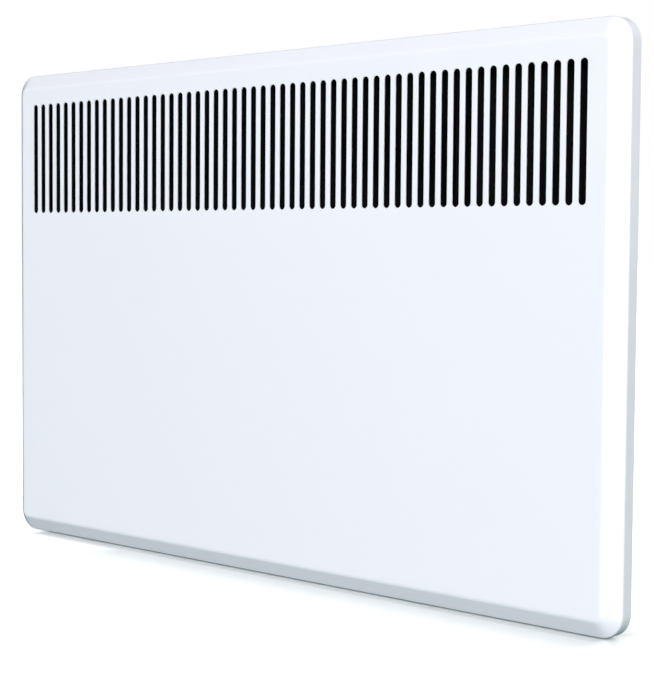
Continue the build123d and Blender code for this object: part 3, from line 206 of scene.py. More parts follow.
def floorShade(tree, centre, half, stretch, glow):
    # painted shade: the distance outside the patch, as a share of the last stop's, sets how much the floor glows,
    # so the floor is darker near the heater as a painted contact shadow
    reach = glow[-1][0]
    steps = (
        ("SUBTRACT", (*centre, 0)),
        ("ABSOLUTE", None),
        ("SUBTRACT", (*half, 1)),
        ("MAXIMUM", (0, 0, 0)),
        ("MULTIPLY", [s / reach for s in stretch]),
        ("LENGTH", None),
    )
    source = addNode(tree, "TexCoord").outputs["Object"]
    for operation, value in steps:
        step = addNode(tree, "VectorMath", operation=operation)
        if value:
            step.inputs[1].default_value = value
        tree.links.new(source, step.inputs[0])
        source = step.outputs["Value" if operation == "LENGTH" else "Vector"]
    ramp = addNode(tree, "ValToRGB")
    stops = ramp.color_ramp.elements
    while len(stops) < len(glow):
        stops.new(1.0)
    for stop, (distance, strength) in zip(stops, glow):
        stop.position = distance / reach
        stop.color = (strength, strength, strength, 1)
    tree.links.new(source, ramp.inputs["Fac"])
    return ramp.outputs["Color"]


def floorMaterial(setup):
    material = bpy.data.materials.new("paleFloor")
    material.use_nodes = True
    tree = material.node_tree
    shader = tree.nodes["Principled BSDF"]
    shader.inputs["Base Color"].default_value = setup["floorColour"]
    shader.inputs["Roughness"].default_value = setup["floorRoughness"]
    shader.inputs["Emission Color"].default_value = setup["floorGlowColour"]
    shader.inputs["Specular IOR Level"].default_value = setup["floorSpecular"]
    wide, narrow = [floorShade(tree, **shade) for shade in setup["shades"]]
    axes = addNode(tree, "SeparateXYZ")
    tree.links.new(addNode(tree, "TexCoord").outputs["Object"], axes.inputs[0])
    behind = remap(tree, axes.outputs["Y"], *setup["floorBehind"], 0.0, 1.0)
    # the floor's glow, lowered round the heater's foot as painted shade for its contact shadow
    glow = maths(tree, "MAXIMUM", maths(tree, "MINIMUM", wide, narrow), behind)
    tree.links.new(glow, shader.inputs["Emission Strength"])
    bounce = addNode(tree, "BsdfDiffuse", Color=setup["floorBounce"])
    cameraOnly(tree, shader, bounce, tree.nodes["Material Output"])
    return material


def buildFloor(setup):
    bm = bmesh.new()
    bmesh.ops.create_grid(bm, x_segments=1, y_segments=1, size=setup["floorSize"])
    bmesh.ops.translate(bm, vec=(0, 0, cadBox[0][2] - setup["floorGap"]), verts=bm.verts)
    mesh = bpy.data.meshes.new("studioFloor")
    bm.to_mesh(mesh)
    bm.free()
    floor = bpy.data.objects.new("studioFloor", mesh)
    scene.collection.objects.link(floor)
    mesh.materials.append(floorMaterial(setup))


for lightName, light in studio["lights"].items():
    softLight(lightName, **light)
buildSurround(studio)
buildFloor(studio)
scene.view_settings.view_transform = "Standard"
scene.view_settings.look = "None"
print("studio built")

# finishes: every one is procedural, on Object coordinates
# colour and second are two colours that blotch into each other, rough is the roughness between its two
# ends, grain is how fine the bump is and depth how strong
finishes = {
    "panelWhite": dict(colour=(0.893, 0.882, 0.916), second=(0.90, 0.889, 0.919), rough=(0.20, 0.27),
                       grain=1400, depth=0.05),
    "casingWhite": dict(colour=(0.80, 0.82, 0.84), second=(0.77, 0.79, 0.80), rough=(0.42, 0.55),
                        grain=1100, depth=0.08),
    # partly its black paint, partly painted shade: the duct behind the slots is darker than black paint gets and
    # barely glossy, standing in for the dark inside the slots
    "ductBlackPaintedShade": dict(colour=(0.003, 0.003, 0.0034), second=(0.005, 0.005, 0.0048), rough=(0.75, 0.9),
                      grain=900, depth=0.08, specular=0.06),
    "guardBlack": dict(colour=(0.02, 0.02, 0.021), second=(0.032, 0.031, 0.03), rough=(0.30, 0.45),
                       grain=1200, depth=0.05),
    "brightSheet": dict(colour=(0.80, 0.81, 0.82), second=(0.72, 0.73, 0.75), rough=(0.16, 0.30),
                        grain=500, depth=0.03, metallic=1.0, stretch=(1, 1, 30)),
    "galvanised": dict(colour=(0.68, 0.70, 0.71), second=(0.53, 0.55, 0.58), rough=(0.38, 0.48),
                       grain=700, depth=0.03, metallic=0.85, spangle=240),
    "zincPlate": dict(colour=(0.68, 0.69, 0.70), second=(0.55, 0.56, 0.60), rough=(0.22, 0.38),
                      grain=1500, depth=0.04, metallic=1.0),
    "rodSteel": dict(colour=(0.34, 0.31, 0.28), second=(0.20, 0.17, 0.19), rough=(0.35, 0.55),
                     grain=900, depth=0.04, metallic=0.9, stretch=(0.1, 1, 1)),
    "finAluminium": dict(colour=(0.78, 0.79, 0.80), second=(0.66, 0.67, 0.69), rough=(0.25, 0.42),
                         grain=800, depth=0.03, metallic=1.0, stretch=(1, 0.1, 1)),
    "ceramic": dict(colour=(0.86, 0.83, 0.76), second=(0.78, 0.75, 0.68), rough=(0.55, 0.75),
                    grain=1600, depth=0.08),
    "rubberBlack": dict(colour=(0.025, 0.025, 0.026), second=(0.05, 0.05, 0.052), rough=(0.65, 0.85),
                        grain=1300, depth=0.10),
    "plasticWhite": dict(colour=(0.82, 0.83, 0.84), second=(0.78, 0.79, 0.79), rough=(0.38, 0.50),
                         grain=2200, depth=0.08),
    "plasticGrey": dict(colour=(0.20, 0.21, 0.23), second=(0.15, 0.16, 0.17), rough=(0.40, 0.55),
                        grain=1800, depth=0.08),
    "plasticBlack": dict(colour=(0.015, 0.015, 0.016), second=(0.03, 0.03, 0.031), rough=(0.22, 0.36),
                         grain=1800, depth=0.05),
    "buttonRed": dict(colour=(0.50, 0.02, 0.015), second=(0.40, 0.015, 0.012), rough=(0.25, 0.38),
                      grain=1800, depth=0.04),
    "lensAmber": dict(colour=(0.85, 0.25, 0.02), second=(0.75, 0.18, 0.01), rough=(0.06, 0.14),
                      grain=1200, depth=0.02, through=0.55),
    "lampGlass": dict(colour=(0.90, 0.85, 0.80), second=(0.80, 0.74, 0.68), rough=(0.03, 0.08),
                      grain=1200, depth=0.01, through=0.85),
    "copper": dict(colour=(0.72, 0.36, 0.22), second=(0.50, 0.24, 0.15), rough=(0.22, 0.40),
                   grain=1300, depth=0.03, metallic=1.0),
    "brass": dict(colour=(0.76, 0.58, 0.26), second=(0.60, 0.44, 0.18), rough=(0.20, 0.36),
                  grain=1300, depth=0.03, metallic=1.0),
    "leadBrown": dict(colour=(0.16, 0.06, 0.025), second=(0.12, 0.045, 0.02), rough=(0.40, 0.55),
                      grain=1500, depth=0.05),
    "leadBlue": dict(colour=(0.02, 0.08, 0.36), second=(0.015, 0.06, 0.28), rough=(0.40, 0.55),
                     grain=1500, depth=0.05),
    "leadGreen": dict(colour=(0.55, 0.60, 0.03), second=(0.05, 0.30, 0.06), rough=(0.40, 0.55),
                      grain=1500, depth=0.05, banded=True),
    "leadBlack": dict(colour=(0.015, 0.015, 0.015), second=(0.03, 0.03, 0.03), rough=(0.40, 0.55),
                      grain=1500, depth=0.05),
    "leadRed": dict(colour=(0.42, 0.02, 0.015), second=(0.33, 0.015, 0.012), rough=(0.40, 0.55),
                    grain=1500, depth=0.05),
}

# patterns that all finishes share; a noise is given by its scale and detail, and a span says between
# which two values of a pattern it passes from one end to the other
patterns = {
    "blotch": (22.0, 3.0),
    "gloss": (160.0, 5.0),
    "noiseSpan": (0.35, 0.65),
    "bandScale": 160.0,
    "bandSpan": (0.48, 0.52),
    "grainDetail": 2.0,
    "grainHeight": 0.0004,
}

edgeWear = {
    "radius": 0.0006,
    "samples": 4,
    "span": (0.02, 0.22),
    "most": 0.25,
    "patch": (90.0, 4.0),
    "tone": 0.75,  # the worn colour, as a share of the second one
    "rougher": 0.2,
}


def noise(tree, place, scale, detail):
    node = addNode(tree, "TexNoise", Scale=scale, Detail=detail)
    tree.links.new(place, node.inputs["Vector"])
    return node.outputs["Fac"]


def blend(tree, factor, first, last):
    node = addNode(tree, "Mix", data_type="RGBA")
    ends = [socket for socket in node.inputs if socket.type == "RGBA"]
    feed(tree, [node.inputs["Factor"]] + ends, (factor, first, last))
    return [socket for socket in node.outputs if socket.type == "RGBA"][0]


def wornEdges(tree, place, wear):
    # a rounded normal turns away from the true one at an edge, and wear is strongest there, in patches
    rounded = addNode(tree, "Bevel", samples=wear["samples"], Radius=wear["radius"])
    away = addNode(tree, "VectorMath", operation="DISTANCE")
    normals = (rounded.outputs["Normal"], addNode(tree, "NewGeometry").outputs["Normal"])
    feed(tree, away.inputs, normals)
    edge = remap(tree, away.outputs["Value"], *wear["span"], 0.0, wear["most"])
    return maths(tree, "MULTIPLY", edge, noise(tree, place, *wear["patch"]))


def makeFinish(name, colour, second, rough, grain, depth, metallic=0.0, through=0.0, specular=0.5,
               stretch=(1, 1, 1), spangle=0, banded=False):
    material = bpy.data.materials.new(name)
    material.use_nodes = True
    tree = material.node_tree
    link = tree.links.new
    shader = tree.nodes["Principled BSDF"]
    shader.inputs["Metallic"].default_value = metallic
    shader.inputs["Specular IOR Level"].default_value = specular
    shader.inputs["Transmission Weight"].default_value = through
    mapping = addNode(tree, "Mapping", Scale=stretch)
    link(addNode(tree, "TexCoord").outputs["Object"], mapping.inputs["Vector"])
    place = mapping.outputs["Vector"]

    # the second colour shows in the zinc's spangles, in diagonal bands or in soft blotches
    if spangle:
        cells = addNode(tree, "TexVoronoi", Scale=spangle)
        link(place, cells.inputs["Vector"])
        parts = addNode(tree, "SeparateColor")
        link(cells.outputs["Color"], parts.inputs["Color"])
        share = parts.outputs["Red"]
    elif banded:
        bands = addNode(tree, "TexWave", Scale=patterns["bandScale"], wave_type="BANDS",
                        bands_direction="DIAGONAL")
        link(place, bands.inputs["Vector"])
        share = remap(tree, bands.outputs["Fac"], *patterns["bandSpan"], 0.0, 1.0)
    else:
        share = remap(tree, noise(tree, place, *patterns["blotch"]), *patterns["noiseSpan"], 0.0, 1.0)
    base = blend(tree, share, (*colour, 1), (*second, 1))

    edge = wornEdges(tree, place, edgeWear)
    wornColour = (*(edgeWear["tone"] * c for c in second), 1)
    link(blend(tree, edge, base, wornColour), shader.inputs["Base Color"])
    gloss = remap(tree, noise(tree, place, *patterns["gloss"]), *patterns["noiseSpan"], *rough)
    rougher = maths(tree, "MULTIPLY", edge, edgeWear["rougher"])
    link(maths(tree, "ADD", gloss, rougher), shader.inputs["Roughness"])
    bump = addNode(tree, "Bump", Strength=depth, Distance=patterns["grainHeight"])
    link(noise(tree, place, grain, patterns["grainDetail"]), bump.inputs["Height"])
    link(bump.outputs["Normal"], shader.inputs["Normal"])
    return material


materials = {name: makeFinish(name, **values) for name, values in finishes.items()}
print("finishes made:", len(materials))

# which finish each CAD node wears, by its material slot in the record
slotFinish = {
    "panel_white": "panelWhite", "casing_white": "casingWhite", "duct_black": "ductBlackPaintedShade",
    "guard_black": "guardBlack", "bright_sheet": "brightSheet", "galvanised": "galvanised",
    "zinc": "zincPlate", "rod_steel": "rodSteel", "fin_aluminium": "finAluminium", "ceramic": "ceramic",
    "rubber_black": "rubberBlack", "plastic_white": "plasticWhite", "plastic_grey": "plasticGrey",
    "plastic_black": "plasticBlack", "button_red": "buttonRed", "lens_amber": "lensAmber",
    "lamp_glass": "lampGlass", "copper": "copper", "brass": "brass", "lead_brown": "leadBrown",
    "lead_blue": "leadBlue", "lead_green": "leadGreen", "lead_black": "leadBlack", "lead_red": "leadRed",
}
nodeSlot = {s["node"]: s["material_slot"] for s in frame["record"]["subparts"]}
for name, node in nodes.items():
    node.data.materials.clear()
    node.data.materials.append(materials[slotFinish[nodeSlot[name]]])
print("CAD nodes finished")

pivots = {joint["child"]: joint["pos_m"] for joint in frame["joints"] if "pos_m" in joint}


# helpers for new pieces
hairline = 1e-6  # what is closer than this touches or is level


def finishPiece(name, bm, body, slot, replaced=(), smooth=40.0, faceOut=True):
    mesh = bpy.data.meshes.new(name)
    if faceOut:
        bmesh.ops.recalc_face_normals(bm, faces=bm.faces)
    for face in bm.faces:
        face.smooth = True
    bm.to_mesh(mesh)
    bm.free()
    mesh.set_sharp_from_angle(angle=radians(smooth))
    piece = bpy.data.objects.new(name, mesh)
    scene.collection.objects.link(piece)
    mesh.materials.append(materials[slotFinish[slot]])
    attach(piece, body)
    if replaced:
        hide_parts(*replaced)
    return piece


def vertsOf(geometry):
    return [g for g in geometry if isinstance(g, bmesh.types.BMVert)]


def edgesOf(geometry):
    return [g for g in geometry if isinstance(g, bmesh.types.BMEdge)]


def facesOf(geometry):
    return [g for g in geometry if isinstance(g, bmesh.types.BMFace)]


def quarterTurn(bm, verts, way):
    bmesh.ops.rotate(bm, cent=(0, 0, 0), matrix=Matrix.Rotation(way * pi / 2, 3, "X"), verts=verts)


def footOf(node):
    low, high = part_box(node)
    return Vector(((low.x + high.x) / 2, (low.y + high.y) / 2, low.z))


def roundedCorner(before, corner, after, radius, steps):
    back = (Vector(before) - Vector(corner)).normalized()
    onwards = (Vector(after) - Vector(corner)).normalized()
    half = back.angle(onwards) / 2
    reach = radius / tan(half)
    middle = Vector(corner) + (back + onwards).normalized() * (radius / sin(half))
    start = Vector(corner) + back * reach - middle
    end = Vector(corner) + onwards * reach - middle
    sweep = start.angle_signed(end)
    return [middle + Matrix.Rotation(-sweep * i / steps, 2) @ start for i in range(steps + 1)]


# front panel: pressed sheet with soft bends, a bevelled rim, a return, a rear lip and 56 slots
panelShape = {
    "cornerRadius": 0.017,
    "cornerSteps": 10,
    "bevelRun": 0.012,
    "bevelDepth": 0.008,
    "faceBend": 0.006,
    "edgeBend": 0.002,
    "bendSteps": 5,
    "flatStart": 0.001,  # a strip of flat face inside the last bend
    "lipWidth": 0.014,
    "sheet": 0.001,
    "slots": 56,
    "slotPitch": 0.0105,
    "slotWidth": 0.006,
    "slotLength": 0.094,
    "slotMidZ": 0.127,
    "slotSteps": 16,
    "punchedRound": 0.0002,
    "punchedSteps": 2,
    "punchedAngle": 60.0,
}


def panelRings(shape, rearY, frontY):
    # side view of the rim, from the lip forwards: how far inside the outline, and the place in y
    rear = (0.0, rearY)
    edge = (0.0, frontY + shape["bevelDepth"])
    face = (shape["bevelRun"], frontY)
    inside = (shape["bevelRun"] * 3, frontY)  # any point further in on the face
    rings = [Vector(rear)]
    rings += roundedCorner(rear, edge, face, shape["edgeBend"], shape["bendSteps"])
    rings += roundedCorner(edge, face, inside, shape["faceBend"], shape["bendSteps"])
    rings.append(rings[-1] + Vector((shape["flatStart"], 0)))
    return rings


def panelBlank(bm, shape, low, high):
    bmesh.ops.create_grid(bm, x_segments=1, y_segments=1, size=0.5)
    bmesh.ops.scale(bm, vec=(high.x - low.x, high.z - low.z, 1), verts=bm.verts)
    quarterTurn(bm, bm.verts, 1)
    bmesh.ops.translate(bm, vec=(0, high.y, 0), verts=bm.verts)
    bmesh.ops.bevel(bm, geom=bm.verts[:], offset=shape["cornerRadius"], segments=shape["cornerSteps"],
                    profile=0.5, affect="VERTICES", material=-1)
    # the lip is a copy of the rear outline, inset, with its middle taken out
    lipFace = facesOf(bmesh.ops.duplicate(bm, geom=bm.faces[:])["geom"])
    front = [f for f in bm.faces if f not in lipFace][0]
    bmesh.ops.inset_region(bm, faces=lipFace, thickness=shape["lipWidth"], use_boundary=True,
                           use_even_offset=True)
    bmesh.ops.delete(bm, geom=lipFace, context="FACES")
    return front


def pressRim(bm, front, rings):
    # the return, the bends and the bevel are successive steps inwards and forwards
    for last, ring in zip(rings, rings[1:]):
        inwards, forwards = ring[0] - last[0], last[1] - ring[1]
        if inwards < hairline:
            raised = bmesh.ops.extrude_face_region(bm, geom=[front], use_keep_orig=True)["geom"]
            bmesh.ops.delete(bm, geom=[front], context="FACES_ONLY")
            front = facesOf(raised)[0]
            bmesh.ops.translate(bm, vec=(0, -forwards, 0), verts=front.verts[:])
        else:
            bmesh.ops.inset_region(bm, faces=[front], thickness=inwards, depth=forwards,
                                   use_even_offset=True)
    rim = front.edges[:]
    bmesh.ops.delete(bm, geom=[front], context="FACES_ONLY")
    return rim


def slotOutlines(bm, shape, frontY):
    # a circle turned and widened until two flat sides stand at the slot's width, pulled apart to its
    # length, then copied
    slot = bmesh.ops.create_circle(bm, cap_ends=False, segments=shape["slotSteps"],
                                   radius=shape["slotWidth"] / 2)["verts"]
    half = pi / shape["slotSteps"]
    bmesh.ops.rotate(bm, cent=(0, 0, 0), matrix=Matrix.Rotation(half, 3, "Z"), verts=slot)
    quarterTurn(bm, slot, 1)
    bmesh.ops.scale(bm, vec=(1 / cos(half), 1, 1), verts=slot)
    straight = (shape["slotLength"] - shape["slotWidth"]) / 2
    for side in (1, -1):
        end = [v for v in slot if v.co.z * side > 0]
        bmesh.ops.translate(bm, vec=(0, 0, side * straight), verts=end)
    first = -(shape["slots"] - 1) * shape["slotPitch"] / 2
    bmesh.ops.translate(bm, vec=(first, frontY, shape["slotMidZ"]), verts=slot)
    outline = list(dict.fromkeys(e for v in slot for e in v.link_edges))
    holes = list(outline)
    for i in range(1, shape["slots"]):
        copy = bmesh.ops.duplicate(bm, geom=slot + outline)["geom"]
        bmesh.ops.translate(bm, vec=(i * shape["slotPitch"], 0, 0), verts=vertsOf(copy))
        holes += edgesOf(copy)
    return holes


def buildFrontPanel(shape):
    low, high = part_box("front_panel")
    bm = bmesh.new()
    front = panelBlank(bm, shape, low, high)
    rim = pressRim(bm, front, panelRings(shape, high.y, low.y))
    holes = slotOutlines(bm, shape, low.y)
    bmesh.ops.triangle_fill(bm, use_beauty=True, use_dissolve=False, edges=rim + holes, normal=(0, -1, 0))
    bmesh.ops.remove_doubles(bm, verts=bm.verts, dist=hairline)
    panel = finishPiece("frontPanel", bm, "heater", "panel_white", ["front_panel"], smooth=50)
    wall = panel.modifiers.new("sheet", "SOLIDIFY")
    wall.thickness = shape["sheet"]
    wall.offset = -1
    wall.use_even_offset = True
    punched = panel.modifiers.new("punchedEdges", "BEVEL")
    punched.width = shape["punchedRound"]
    punched.segments = shape["punchedSteps"]
    punched.limit_method = "ANGLE"
    punched.angle_limit = radians(shape["punchedAngle"])
    panel.modifiers.new("faceNormals", "WEIGHTED_NORMAL").keep_sharp = True


buildFrontPanel(panelShape)
print("front panel built")


# turned pieces: a half outline spun round an upright axis
def lathe(bm, outline, steps):
    points = [bm.verts.new((r, 0, z)) for r, z in outline]
    edges = [bm.edges.new(pair) for pair in zip(points, points[1:])]
    bmesh.ops.spin(bm, geom=points + edges, cent=(0, 0, 0), axis=(0, 0, 1), angle=2 * pi,
                   steps=steps, use_merge=True, use_duplicate=False)
    bmesh.ops.remove_doubles(bm, verts=bm.verts, dist=hairline)


def millimetres(*points):
    return [tuple(v / 1000 for v in point) for point in points]


def pressFlutes(bm, shape):
    # going round, each column of vertices at the outside is pulled in by its own share
    low, high = shape["fluteZ"]
    outside = [v for v in bm.verts if low < v.co.z < high and v.co.xy.length > shape["fluteR"]]
    turns = [round(v.co.xy.angle_signed(Vector((1, 0))) / (2 * pi) * shape["steps"]) for v in outside]
    for i, depth in enumerate(shape["flutes"]):
        column = [v for v, turn in zip(outside, turns) if turn % len(shape["flutes"]) == i]
        bmesh.ops.scale(bm, vec=(1 - depth, 1 - depth, 1), verts=column)


def copies(bm, places):
    first = bm.verts[:] + bm.edges[:] + bm.faces[:]
    for place in places[1:]:
        copy = bmesh.ops.duplicate(bm, geom=first)["geom"]
        bmesh.ops.translate(bm, vec=place, verts=vertsOf(copy))
    bmesh.ops.translate(bm, vec=places[0], verts=vertsOf(first))


# thermostat knob: fluted grip over a smooth skirt, dished top, hollow below with a boss
knobShape = {
    "outline": ((0, 13.5), (10.6, 13.5), (11.2, 13.9), (12.0, 14.0), (12.9, 13.8), (13.4, 13.2),
                (13.6, 12.4), (13.8, 3.6), (14.0, 3.0), (14.0, 0.6), (13.6, 0.0), (12.2, 0.0), (12.0, 0.4),
                (12.0, 11.6), (11.6, 12.0), (5.4, 12.0), (5.2, 11.8), (5.2, 1.2), (5.0, 1.0), (3.2, 1.0),
                (3.0, 1.2), (3.0, 10.6), (0, 10.6)),
    "steps": 144,
    "flutes": (0.0, 0.0, 0.014, 0.030, 0.030, 0.014),
    "fluteZ": (0.0037, 0.0131),
    "fluteR": 0.0127,
    "pointerHalf": 0.0008,
    "pointerEnds": (-0.0120, -0.0030),
    "pointerZ": (0.0130, 0.0148),
    "pointerRound": 0.0004,
    "pointerSteps": 3,
}


def buildKnob(shape):
    foot = footOf("thermostat_knob")
    bm = bmesh.new()
    lathe(bm, millimetres(*shape["outline"]), shape["steps"])
    pressFlutes(bm, shape)
    bmesh.ops.translate(bm, vec=foot, verts=bm.verts)
    finishPiece("thermostatKnob", bm, "knob", "plastic_white", ["thermostat_knob"], smooth=35)

    bm = bmesh.new()
    ridge = bmesh.ops.create_cube(bm, size=1)["verts"]
    start, end = shape["pointerEnds"]
    bottom, top = shape["pointerZ"]
    bmesh.ops.scale(bm, vec=(2 * shape["pointerHalf"], end - start, top - bottom), verts=ridge)
    bmesh.ops.translate(bm, vec=(0, (start + end) / 2, (bottom + top) / 2), verts=ridge)
    bmesh.ops.bevel(bm, geom=bm.edges[:], offset=shape["pointerRound"], segments=shape["pointerSteps"],
                    profile=0.5, affect="EDGES", material=-1)
    bmesh.ops.translate(bm, vec=foot, verts=bm.verts)
    finishPiece("knobPointer", bm, "knob", "plastic_grey")


buildKnob(knobShape)

# printed dial round the knob: ticks that lengthen from frost guard to full heat
dialShape = {
    "ticks": 10, "startAngle": -90.0, "sweep": -270.0, "inner": 0.0150, "lengths": (0.0008, 0.0023),
    "width": 0.0006, "thick": 0.00006,
}


def buildDial(shape):
    axis = footOf("thermostat_knob")
    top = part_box("control_fascia")[1].z
    bm = bmesh.new()
    for i in range(shape["ticks"]):
        share = i / (shape["ticks"] - 1)
        length = shape["lengths"][0] + share * (shape["lengths"][1] - shape["lengths"][0])
        tick = bmesh.ops.create_cube(bm, size=1)["verts"]
        bmesh.ops.scale(bm, vec=(length, shape["width"], shape["thick"]), verts=tick)
        bmesh.ops.translate(bm, vec=(shape["inner"] + length / 2, 0, shape["thick"] / 2), verts=tick)
        turn = Matrix.Rotation(radians(shape["startAngle"] + share * shape["sweep"]), 3, "Z")
        bmesh.ops.rotate(bm, cent=(0, 0, 0), matrix=turn, verts=tick)
    bmesh.ops.translate(bm, vec=(axis.x, axis.y, top), verts=bm.verts)
    finishPiece("dialMarks", bm, "heater", "plastic_grey")


buildDial(dialShape)

# rockers: a drum cut flat below, with a shallow V on top, and the generic on and off marks
rockerShape = {
    "radius": 0.0083, "steps": 64, "half": 0.0051, "flat": -0.00415, "shoulder": 0.005335, "dip": 0.0032,
    "sharpAngle": 35.0, "round": 0.0005, "roundSteps": 3,
    "pivotRadius": 0.001, "pivotHalf": 0.0058, "pivotSteps": 24,
    "tilt": 11.0,
    "markReach": 0.0034, "markRise": 0.00008, "barWidth": 0.0006, "barLength": 0.0026,
    "ringRadius": 0.0014, "ringWidth": 0.0005, "ringSteps": 32,
}
onItsSide = Matrix(((0, 0, 1), (1, 0, 0), (0, 1, 0))).to_4x4()  # the sketch's x, y, z go to y, z, x


def rockerDrum(bm, shape):
    bmesh.ops.create_circle(bm, cap_ends=True, segments=shape["steps"], radius=shape["radius"])
    for height, way in ((shape["shoulder"], 1), (shape["flat"], -1)):
        bmesh.ops.bisect_plane(bm, geom=bm.verts[:] + bm.edges[:] + bm.faces[:], plane_co=(0, height, 0),
                               plane_no=(0, way, 0), clear_outer=True)
    ridge = [e for e in bm.edges if all(abs(v.co.y - shape["shoulder"]) < hairline for v in e.verts)]
    for vert in bmesh.ops.subdivide_edges(bm, edges=ridge, cuts=1)["geom_inner"]:
        vert.co.y = shape["dip"]
    bmesh.ops.translate(bm, vec=(0, 0, -shape["half"]), verts=bm.verts)
    drum = bmesh.ops.extrude_face_region(bm, geom=bm.faces[:], use_keep_orig=True)["geom"]
    bmesh.ops.translate(bm, vec=(0, 0, 2 * shape["half"]), verts=vertsOf(drum))
    bmesh.ops.recalc_face_normals(bm, faces=bm.faces)
    sharp = [e for e in bm.edges if e.is_manifold and e.calc_face_angle() > radians(shape["sharpAngle"])]
    bmesh.ops.bevel(bm, geom=sharp, offset=shape["round"], segments=shape["roundSteps"], profile=0.5,
                    affect="EDGES", material=-1)


def rockerMarks(bm, shape):
    # a bar on the rear slope and a ring on the front one, just proud of the plastic
    bar = bmesh.ops.create_cube(bm, size=1)["verts"]
    bmesh.ops.scale(bm, vec=(shape["barWidth"], shape["barLength"], shape["markRise"] * 2), verts=bar)
    bmesh.ops.create_circle(bm, cap_ends=True, segments=shape["ringSteps"], radius=shape["ringRadius"])
    disc = [f for f in bm.faces if len(f.verts) == shape["ringSteps"]]
    bmesh.ops.inset_region(bm, faces=disc, thickness=shape["ringWidth"], use_boundary=True)
    bmesh.ops.delete(bm, geom=disc, context="FACES_ONLY")
    ring = [v for v in bm.verts if v not in bar]
    flat = [f for f in bm.faces if f.verts[0] in ring]
    raised = bmesh.ops.extrude_face_region(bm, geom=flat, use_keep_orig=True)["geom"]
    bmesh.ops.translate(bm, vec=(0, 0, shape["markRise"]), verts=vertsOf(raised))
    slope = (shape["shoulder"] - shape["dip"]) / (shape["radius"] ** 2 - shape["shoulder"] ** 2) ** 0.5
    for verts, side in ((bar, 1), (ring + vertsOf(raised), -1)):
        lie = Matrix.Translation((0, side * shape["markReach"], shape["dip"] + shape["markReach"] * slope))
        lie = lie @ Matrix.Rotation(side * slope, 4, "X")
        bmesh.ops.transform(bm, matrix=lie, verts=verts)


def buildRocker(shape, name, body):
    place = Matrix.Translation(pivots[body]) @ Matrix.Rotation(radians(shape["tilt"]), 4, "X")
    bm = bmesh.new()
    rockerDrum(bm, shape)
    bmesh.ops.create_cone(bm, cap_ends=True, segments=shape["pivotSteps"], radius1=shape["pivotRadius"],
                          radius2=shape["pivotRadius"], depth=2 * shape["pivotHalf"])
    bmesh.ops.transform(bm, matrix=place @ onItsSide, verts=bm.verts)
    # the drum faced outwards before its bevel, and a second recalculation would turn its notch inside out
    finishPiece(name, bm, body, "plastic_black", [body], smooth=30, faceOut=False)

    marks = bmesh.new()
    rockerMarks(marks, shape)
    bmesh.ops.transform(marks, matrix=place, verts=marks.verts)
    finishPiece(name + "Marks", marks, body, "plastic_white")


buildRocker(rockerShape, "powerRocker", "power_rocker")
buildRocker(rockerShape, "economyRocker", "economy_rocker")
print("knob, dial and rockers built")

# rubber buffers: a flanged foot with a waist, and a recess in its wall face
bufferShape = {
    "outline": ((0, 0), (8.6, 0), (9.0, 0.4), (9.0, 2.6), (8.6, 3.0), (7.9, 3.3), (7.6, 4.2), (7.6, 12.6),
                (7.9, 13.6), (8.5, 14.2), (8.7, 15.0), (8.7, 18.2), (8.3, 19.3), (7.4, 20.0), (4.9, 20.0),
                (4.4, 19.6), (4.2, 17.6), (0, 17.2)),
    "steps": 64,
    "places": (-0.235, 0.235),
}


def buildBuffers(shape):
    low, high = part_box("wall_buffers")
    bm = bmesh.new()
    lathe(bm, millimetres(*shape["outline"]), shape["steps"])
    quarterTurn(bm, bm.verts, -1)
    copies(bm, [(x, low.y, (low.z + high.z) / 2) for x in shape["places"]])
    finishPiece("wallBuffers", bm, "heater", "rubber_black", ["wall_buffers"], smooth=35)


buildBuffers(bufferShape)

# cord gland: knurled flange below the floor and a threaded barrel through it, bored for a 7 mm cord
glandShape = {
    "flange": ((3.8, 0.8), (4.6, 0.0), (9.6, 0.0), (10.6, 0.5), (11.0, 1.4), (11.0, 4.6), (10.6, 5.0),
               (7.5, 5.0)),
    "threadPitch": 1.5, "threadRoot": 7.0, "threadCrest": 7.5, "top": 20.0,
    "steps": 120, "flutes": (0.0, 0.0, 0.03, 0.03), "fluteZ": (0.001, 0.0048), "fluteR": 0.0108,
}


def buildGland(shape):
    outline = list(shape["flange"])
    pitch, root, crest = shape["threadPitch"], shape["threadRoot"], shape["threadCrest"]
    z = shape["flange"][-1][1]
    while z + pitch < shape["top"]:
        outline += [(root, z + pitch / 2), (crest, z + pitch)]
        z += pitch
    outline += [(root, shape["top"]), (shape["flange"][0][0], shape["top"]), shape["flange"][0]]
    bm = bmesh.new()
    lathe(bm, millimetres(*outline), shape["steps"])
    pressFlutes(bm, shape)
    bmesh.ops.translate(bm, vec=footOf("cord_gland"), verts=bm.verts)
    finishPiece("cordGland", bm, "heater", "plastic_white", ["cord_gland"], smooth=35)


buildGland(glandShape)

# pan-head screws with a cross recess, driven from behind
screwShape = {
    "head": ((0, 0), (3.8, 0), (3.8, 0.9), (3.5, 1.6), (2.9, 2.15), (2.1, 2.4)),
    "steps": 32,
    "crossArm": 0.0015, "crossHalf": 0.0004, "crossDepth": 0.0013,
    "crossFloor": 0.7,  # the recess narrows to this share at its floor
    "shank": 0.002, "shankSteps": 20,
    "shankTip": 0.6,  # the shank narrows to this share at its end
    # rows of panel screws along the top and bottom at rowZ, and at the sides at rowX
    "rowX": 0.31132, "rowZ": 0.19132, "alongX": (-0.22415, 0.0, 0.22415), "alongZ": (-0.11479, 0.11479),
    "casingPlaces": ((0.1908, 0.1292), (0.1908, -0.1442), (-0.2572, -0.0850), (-0.2572, -0.1090)),
}


